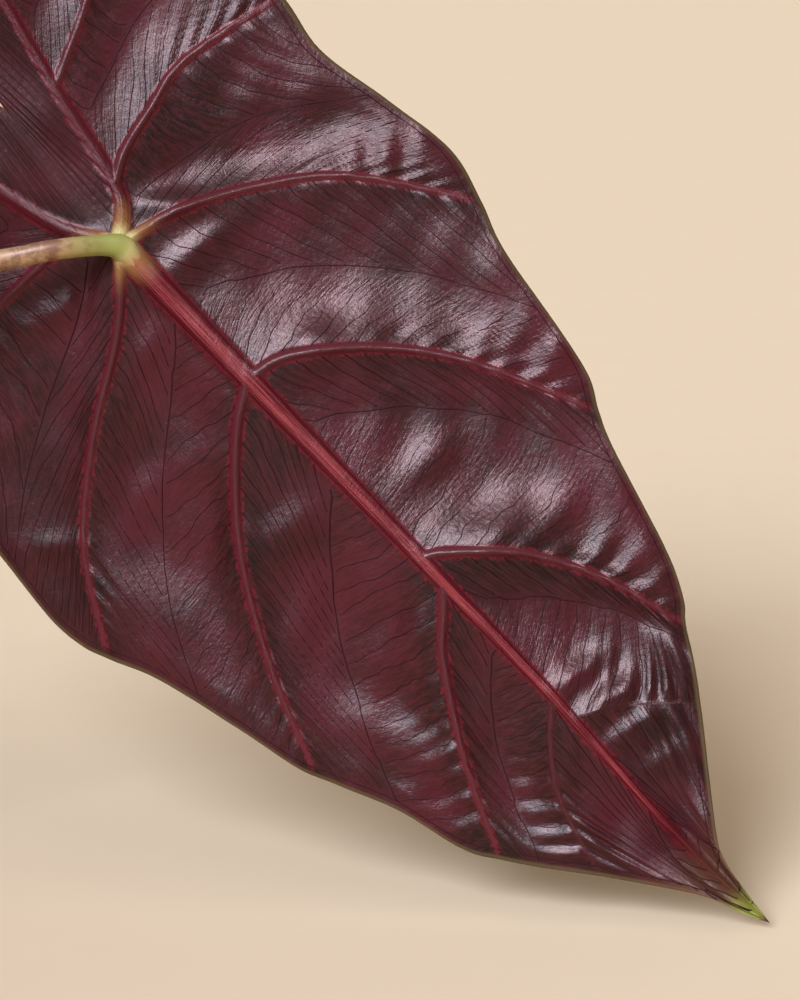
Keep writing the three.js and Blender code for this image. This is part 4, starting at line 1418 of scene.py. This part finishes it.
def pot(material):
    rim_foot = POT_HEIGHT - POT_RIM_DEPTH
    neck = POT_RIM_RADIUS - POT_RIM_STEP
    inner_edge = POT_HEIGHT - POT_EDGE
    profile = [
        (0, 0), (POT_BASE_RADIUS - POT_EDGE, 0), (POT_BASE_RADIUS, POT_EDGE),
        (neck - POT_SHOULDER_INSET, rim_foot - POT_SHOULDER), (neck, rim_foot),
        (POT_RIM_RADIUS - POT_EDGE, rim_foot), (POT_RIM_RADIUS - POT_RIM_FLARE, rim_foot + POT_EDGE),
        (POT_RIM_RADIUS, POT_HEIGHT - POT_EDGE),
        (POT_RIM_RADIUS - POT_EDGE_ROUND, POT_HEIGHT - POT_EDGE_ROUND),
        (POT_RIM_RADIUS - POT_EDGE, POT_HEIGHT), (pot_inner_radius(POT_HEIGHT) + POT_EDGE, POT_HEIGHT),
        (pot_inner_radius(inner_edge), inner_edge), (pot_inner_radius(POT_FLOOR), POT_FLOOR), (0, POT_FLOOR),
    ]
    return turned("terracotta_pot", rounded(profile, POT_CORNER_RADIUS), POT_SIDES, material)


def soil_rise(x, y):
    """How far the soil lies over its level, calm beside the wall and the stem."""
    radius = np.hypot(x, y)
    wall = pot_inner_radius(SOIL_TOP) - SOIL_WALL_GAP
    wide_x, wide_y, small_x, small_y = SOIL_LUMP_LENGTHS
    lumps = np.sin(x / wide_x + SOIL_LUMP_SHIFT) * np.cos(y / wide_y)
    lumps = lumps + SOIL_SMALL_LUMPS * np.sin(x / small_x - y / small_y)
    crumbs = sum(height * waviness(x, y, *kind) for height, *kind in SOIL_CRUMBS)
    free = np.minimum((wall - radius) / SOIL_CALM_WALL, (radius - STEM_RADIUS) / SOIL_CALM_STEM)
    free = np.clip(free, 0, 1)
    return (SOIL_LUMP * lumps + crumbs) * free


def reshape(made, move):
    """Moves a mesh's points, given in millimetres."""
    flat = np.empty(3 * len(made.data.vertices))
    made.data.vertices.foreach_get("co", flat)
    points = flat.reshape(-1, 3) / MM
    made.data.vertices.foreach_set("co", (move(points) * MM).ravel())
    made.data.update()
    return made


def soil(material):
    """The soil, a closed body with a lumpy top and a hole for the stem."""
    bottom = POT_FLOOR + FIT_GAP
    hole = STEM_RADIUS + FIT_GAP
    outer = pot_inner_radius(SOIL_TOP) - SOIL_WALL_GAP
    top = [(radius, SOIL_TOP) for radius in np.linspace(outer, hole + HOLE_EDGE, SOIL_RINGS)]
    profile = [
        (0, bottom), (pot_inner_radius(bottom) - SOIL_WALL_GAP, bottom), *top, (hole, SOIL_TOP + 1),
        (hole, STEM_BOTTOM - FIT_GAP), (0, STEM_BOTTOM - FIT_GAP),
    ]

    def heave(points):
        x, y, z = points.T
        rise = np.where(z > SOIL_TOP - 1, soil_rise(x, y), 0)
        return np.column_stack([x, y, z + rise])

    return reshape(turned("potting_soil", profile, SOIL_SIDES, material), heave)


def lump(name, seed, fineness, stretch, rough):
    """One uneven grain, about 2 mm across before it is stretched."""
    rng = np.random.default_rng(seed)
    shaping = bmesh.new()
    bmesh.ops.create_icosphere(shaping, subdivisions=fineness, radius=MM)
    for corner in shaping.verts:
        corner.co *= rng.uniform(1 - rough, 1 + rough)
        corner.co = Vector(np.array(corner.co) * stretch)
    mesh = bpy.data.meshes.new(name)
    shaping.to_mesh(mesh)
    shaping.free()
    return set_out(name, mesh)


def strewing_tree():
    """Geometry nodes that strew turned and scaled copies of a grain over a bed."""
    inputs = {
        "Bed": "Geometry", "Grain": "Object", "Density": "Float", "Seed": "Int", "Smallest": "Float",
        "Largest": "Float", "Skin": "Material",
    }
    tree, signals = named_tree("strewn_grains", inputs, "Grains")
    bed, grain, density, seed, smallest, largest, skin = signals
    sockets = {"Mesh": bed, "Density": density, "Seed": seed}
    points = tree.node("GeometryNodeDistributePointsOnFaces", None, sockets)
    sockets = {1: (FULL_TURN,) * 3, 8: seed}
    turn = tree.node("FunctionNodeRandomValue", {"data_type": "FLOAT_VECTOR"}, sockets)
    sockets = {2: smallest, 3: largest, 8: seed}
    size = tree.node("FunctionNodeRandomValue", {"data_type": "FLOAT"}, sockets, out=1)
    shape = tree.node("GeometryNodeObjectInfo", None, {0: grain}, out="Geometry")
    sockets = {"Points": points, "Instance": shape, "Rotation": turn, "Scale": size}
    return end_tree(tree, tree.node("GeometryNodeInstanceOnPoints", None, sockets), skin)


def strewn(name, grain, amount, seed, smallest, largest, material):
    """Grains on the soil's top: so many to the square centimetre."""
    edge = pot_inner_radius(SOIL_TOP) - WALL_MARGIN
    radii = np.linspace(STEM_RADIUS + STEM_MARGIN, edge, BED_RINGS)
    bed = turned(f"{name}_bed", [(radius, SOIL_TOP) for radius in radii], BED_SIDES, material)
    reshape(bed, lambda points: points + np.outer(soil_rise(*points[:, :2].T) + GRAIN_LIFT, (0, 0, 1)))
    given = {
        "Grain": grain, "Density": amount * PER_CM2, "Seed": seed, "Smallest": smallest, "Largest": largest,
        "Skin": material,
    }
    mesh = grown(bed, strewing_tree(), given)
    bpy.data.objects.remove(grain)
    return set_out(name, mesh)


def stem(material):
    """A stout stem ringed with leaf scars, each a little narrower than the one below it."""
    collar = STEM_TOP - SOIL_TOP + STEM_COLLAR
    rise = np.arange(0, STEM_RINGS, 1 / STEM_RING_PARTS)
    ring = np.floor(rise)
    step = STEM_RING_STEP * np.clip((rise - ring) / STEM_RING_SHARE, 0, 1)
    radius = STEM_RADIUS - STEM_RING_INSET - (ring / STEM_RINGS) ** 2 - step
    height = SOIL_TOP - STEM_COLLAR + collar * rise / STEM_RINGS
    out = np.linspace(1, 0.05, STEM_CROWN_RINGS)
    top = STEM_TOP + STEM_CROWN
    profile = [
        (0, STEM_BOTTOM), (STEM_RADIUS - STEM_FOOT_INSET, STEM_BOTTOM),
        (STEM_RADIUS, STEM_BOTTOM + STEM_COLLAR), *zip(radius, height),
        *zip(out * (STEM_RADIUS - STEM_TOP_EDGE), top - STEM_CROWN_DROP * out**2), (0, top),
    ]

    def weather(points):
        x, y, z = points.T
        turn = np.arctan2(y, x)
        dents = waviness(np.cos(turn) * STEM_DENT_SPREAD, np.sin(turn) * STEM_DENT_SPREAD, 31, 9)
        dents = dents + 0.6 * waviness(x * 1.5, z * 2 + y, 32, 4)
        shown = np.clip((z - SOIL_TOP + 2) / 2, 0, 1)
        share = 1 - STEM_DENTS_IN * shown * (1 + dents)
        sheaths = np.zeros_like(z)
        for leaf in LEAVES:
            middle = heading(leaf["base_azimuth"]) * PETIOLE_RING
            gap = np.hypot(x - middle.x, y - middle.y) - PETIOLE_BASE_RADIUS
            sheaths = np.maximum(sheaths, np.exp(-((gap / SHEATH_WIDTH) ** 2)))
        crown = SHEATH_RISE * sheaths + STEM_CROWN_DENTS * dents
        rise = np.where(z > STEM_TOP - 1, crown, STEM_DENTS_UP * shown * dents)
        return np.column_stack([x * share, y * share, z + rise])

    return reshape(turned("ringed_stem", profile, STEM_SIDES, material), weather)


def sun(name, rise, turn, width, strength, tint):
    """Soft light from a height in degrees, turned from the camera's side to the right."""
    light = bpy.data.lights.new(name, "SUN")
    light.energy = strength
    light.angle = math.radians(width)
    light.color = tint
    made = set_out(name, light)
    made.rotation_euler = (math.radians(90 - rise), 0, math.radians(turn))
    return made


def studio():
    """A pale floor, soft light from above and the photograph's camera."""
    floor_finish = Finish("pale_floor")
    grain = floor_finish.noise(floor_finish.place(), 40, 4)
    tone = floor_finish.blend(grain, colour(236, 213, 186), colour(239, 216, 190))
    material = floor_finish.surface(Base_Color=tone, Roughness=0.9, Specular_IOR_Level=0.1)
    bpy.ops.mesh.primitive_plane_add(size=24, location=(0, 0, 0))
    floor = bpy.context.object
    floor.name = "studio_floor"
    floor.data.materials.append(material)

    world = bpy.data.worlds.new("dim_room")
    world.use_nodes = True
    room = world.node_tree.nodes["Background"].inputs
    room["Color"].default_value = (1, 0.86, 0.72, 1)
    room["Strength"].default_value = 0.28
    bpy.context.scene.world = world
    key = sun("key_softbox", 33, -26, 26, 3.75, (0.8, 0.89, 1))
    key.light_linking.blocker_collection = SHADED
    sheen = sun("sheen_softbox", 54, -6, 24, 7.6, (1, 0.8, 0.9))
    sheen.visible_diffuse = False
    sun("ceiling_glow", 68, -30, 100, 0.6, (1, 0.93, 0.85))

    look = Vector((0, math.cos(VIEW_RISE), -math.sin(VIEW_RISE)))
    camera = bpy.data.cameras.new("photo_camera")
    camera.lens = VIEW_LENS
    camera.sensor_width = 36
    camera.clip_start = 0.01
    camera_object = set_out("photo_camera", camera)
    camera_object.location = (VIEW_CENTRE - look * VIEW_DISTANCE) * MM
    camera_object.rotation_euler = look.to_track_quat("-Z", "Y").to_euler()
    bpy.context.scene.camera = camera_object
    bpy.context.scene.view_settings.view_transform = "Standard"


SHADED = bpy.data.collections.new("shaded_by_key")
studio()
below, above, stalk = leaf_underside(), leaf_upper_side(), petiole_skin()
dark_vein = vein_skin("vein_skin", colour(30, 8, 13), colour(58, 13, 22), 0.6, 0.1)
pale_vein = vein_skin("pale_vein_skin", colour(66, 96, 52), colour(98, 124, 70), 0.4, 0.5)
for one in LEAVES:
    seen_from_below = one["name"] == "leaf_1"
    if seen_from_below:
        lines = fine_veins(one, dark_vein, side=1, thinnest=0.05, every=3, slim=0.85)
    else:
        lines = fine_veins(one, pale_vein, side=-1, thinnest=0.12, every=8, slim=0.75)
    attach(lines, "root")
    surface = blade(one, below, above)
    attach(surface, "root")
    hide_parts(f"{one['name']}_blade")
    stem_piece = petiole(one, stalk)
    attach(stem_piece, "root")
    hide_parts(f"{one['name']}_petiole")
for shaded in ("leaf_1_blade_surface", "leaf_1_fine_veins", "leaf_1_petiole_stalk", "studio_floor"):
    SHADED.objects.link(bpy.data.objects[shaded])
whole_pieces = [
    (pot(terracotta()), "pot", "terracotta"),
    (soil(potting_mix()), "soil", "potting_mix"),
    (stem(stem_bark()), "stem", "stem"),
]
for piece, node, slot in whole_pieces:
    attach(piece, "root")
    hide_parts(node)
chip = lump("chip", 1, 2, (1.5, 0.9, 0.35), 0.16)
flake = lump("flake", 2, 2, (0.9, 0.7, 0.55), 0.2)
crumb = lump("crumb", 3, 1, (1, 0.8, 0.6), 0.25)
grains = [
    strewn("bark_chips", chip, 3, 4, 0.9, 2.5, chip_skin()),
    strewn("perlite_grains", flake, 1.2, 5, 0.6, 1.5, perlite_skin()),
    strewn("soil_crumbs", crumb, 14, 6, 0.5, 1.4, potting_mix()),
]
for piece in grains:
    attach(piece, "root")
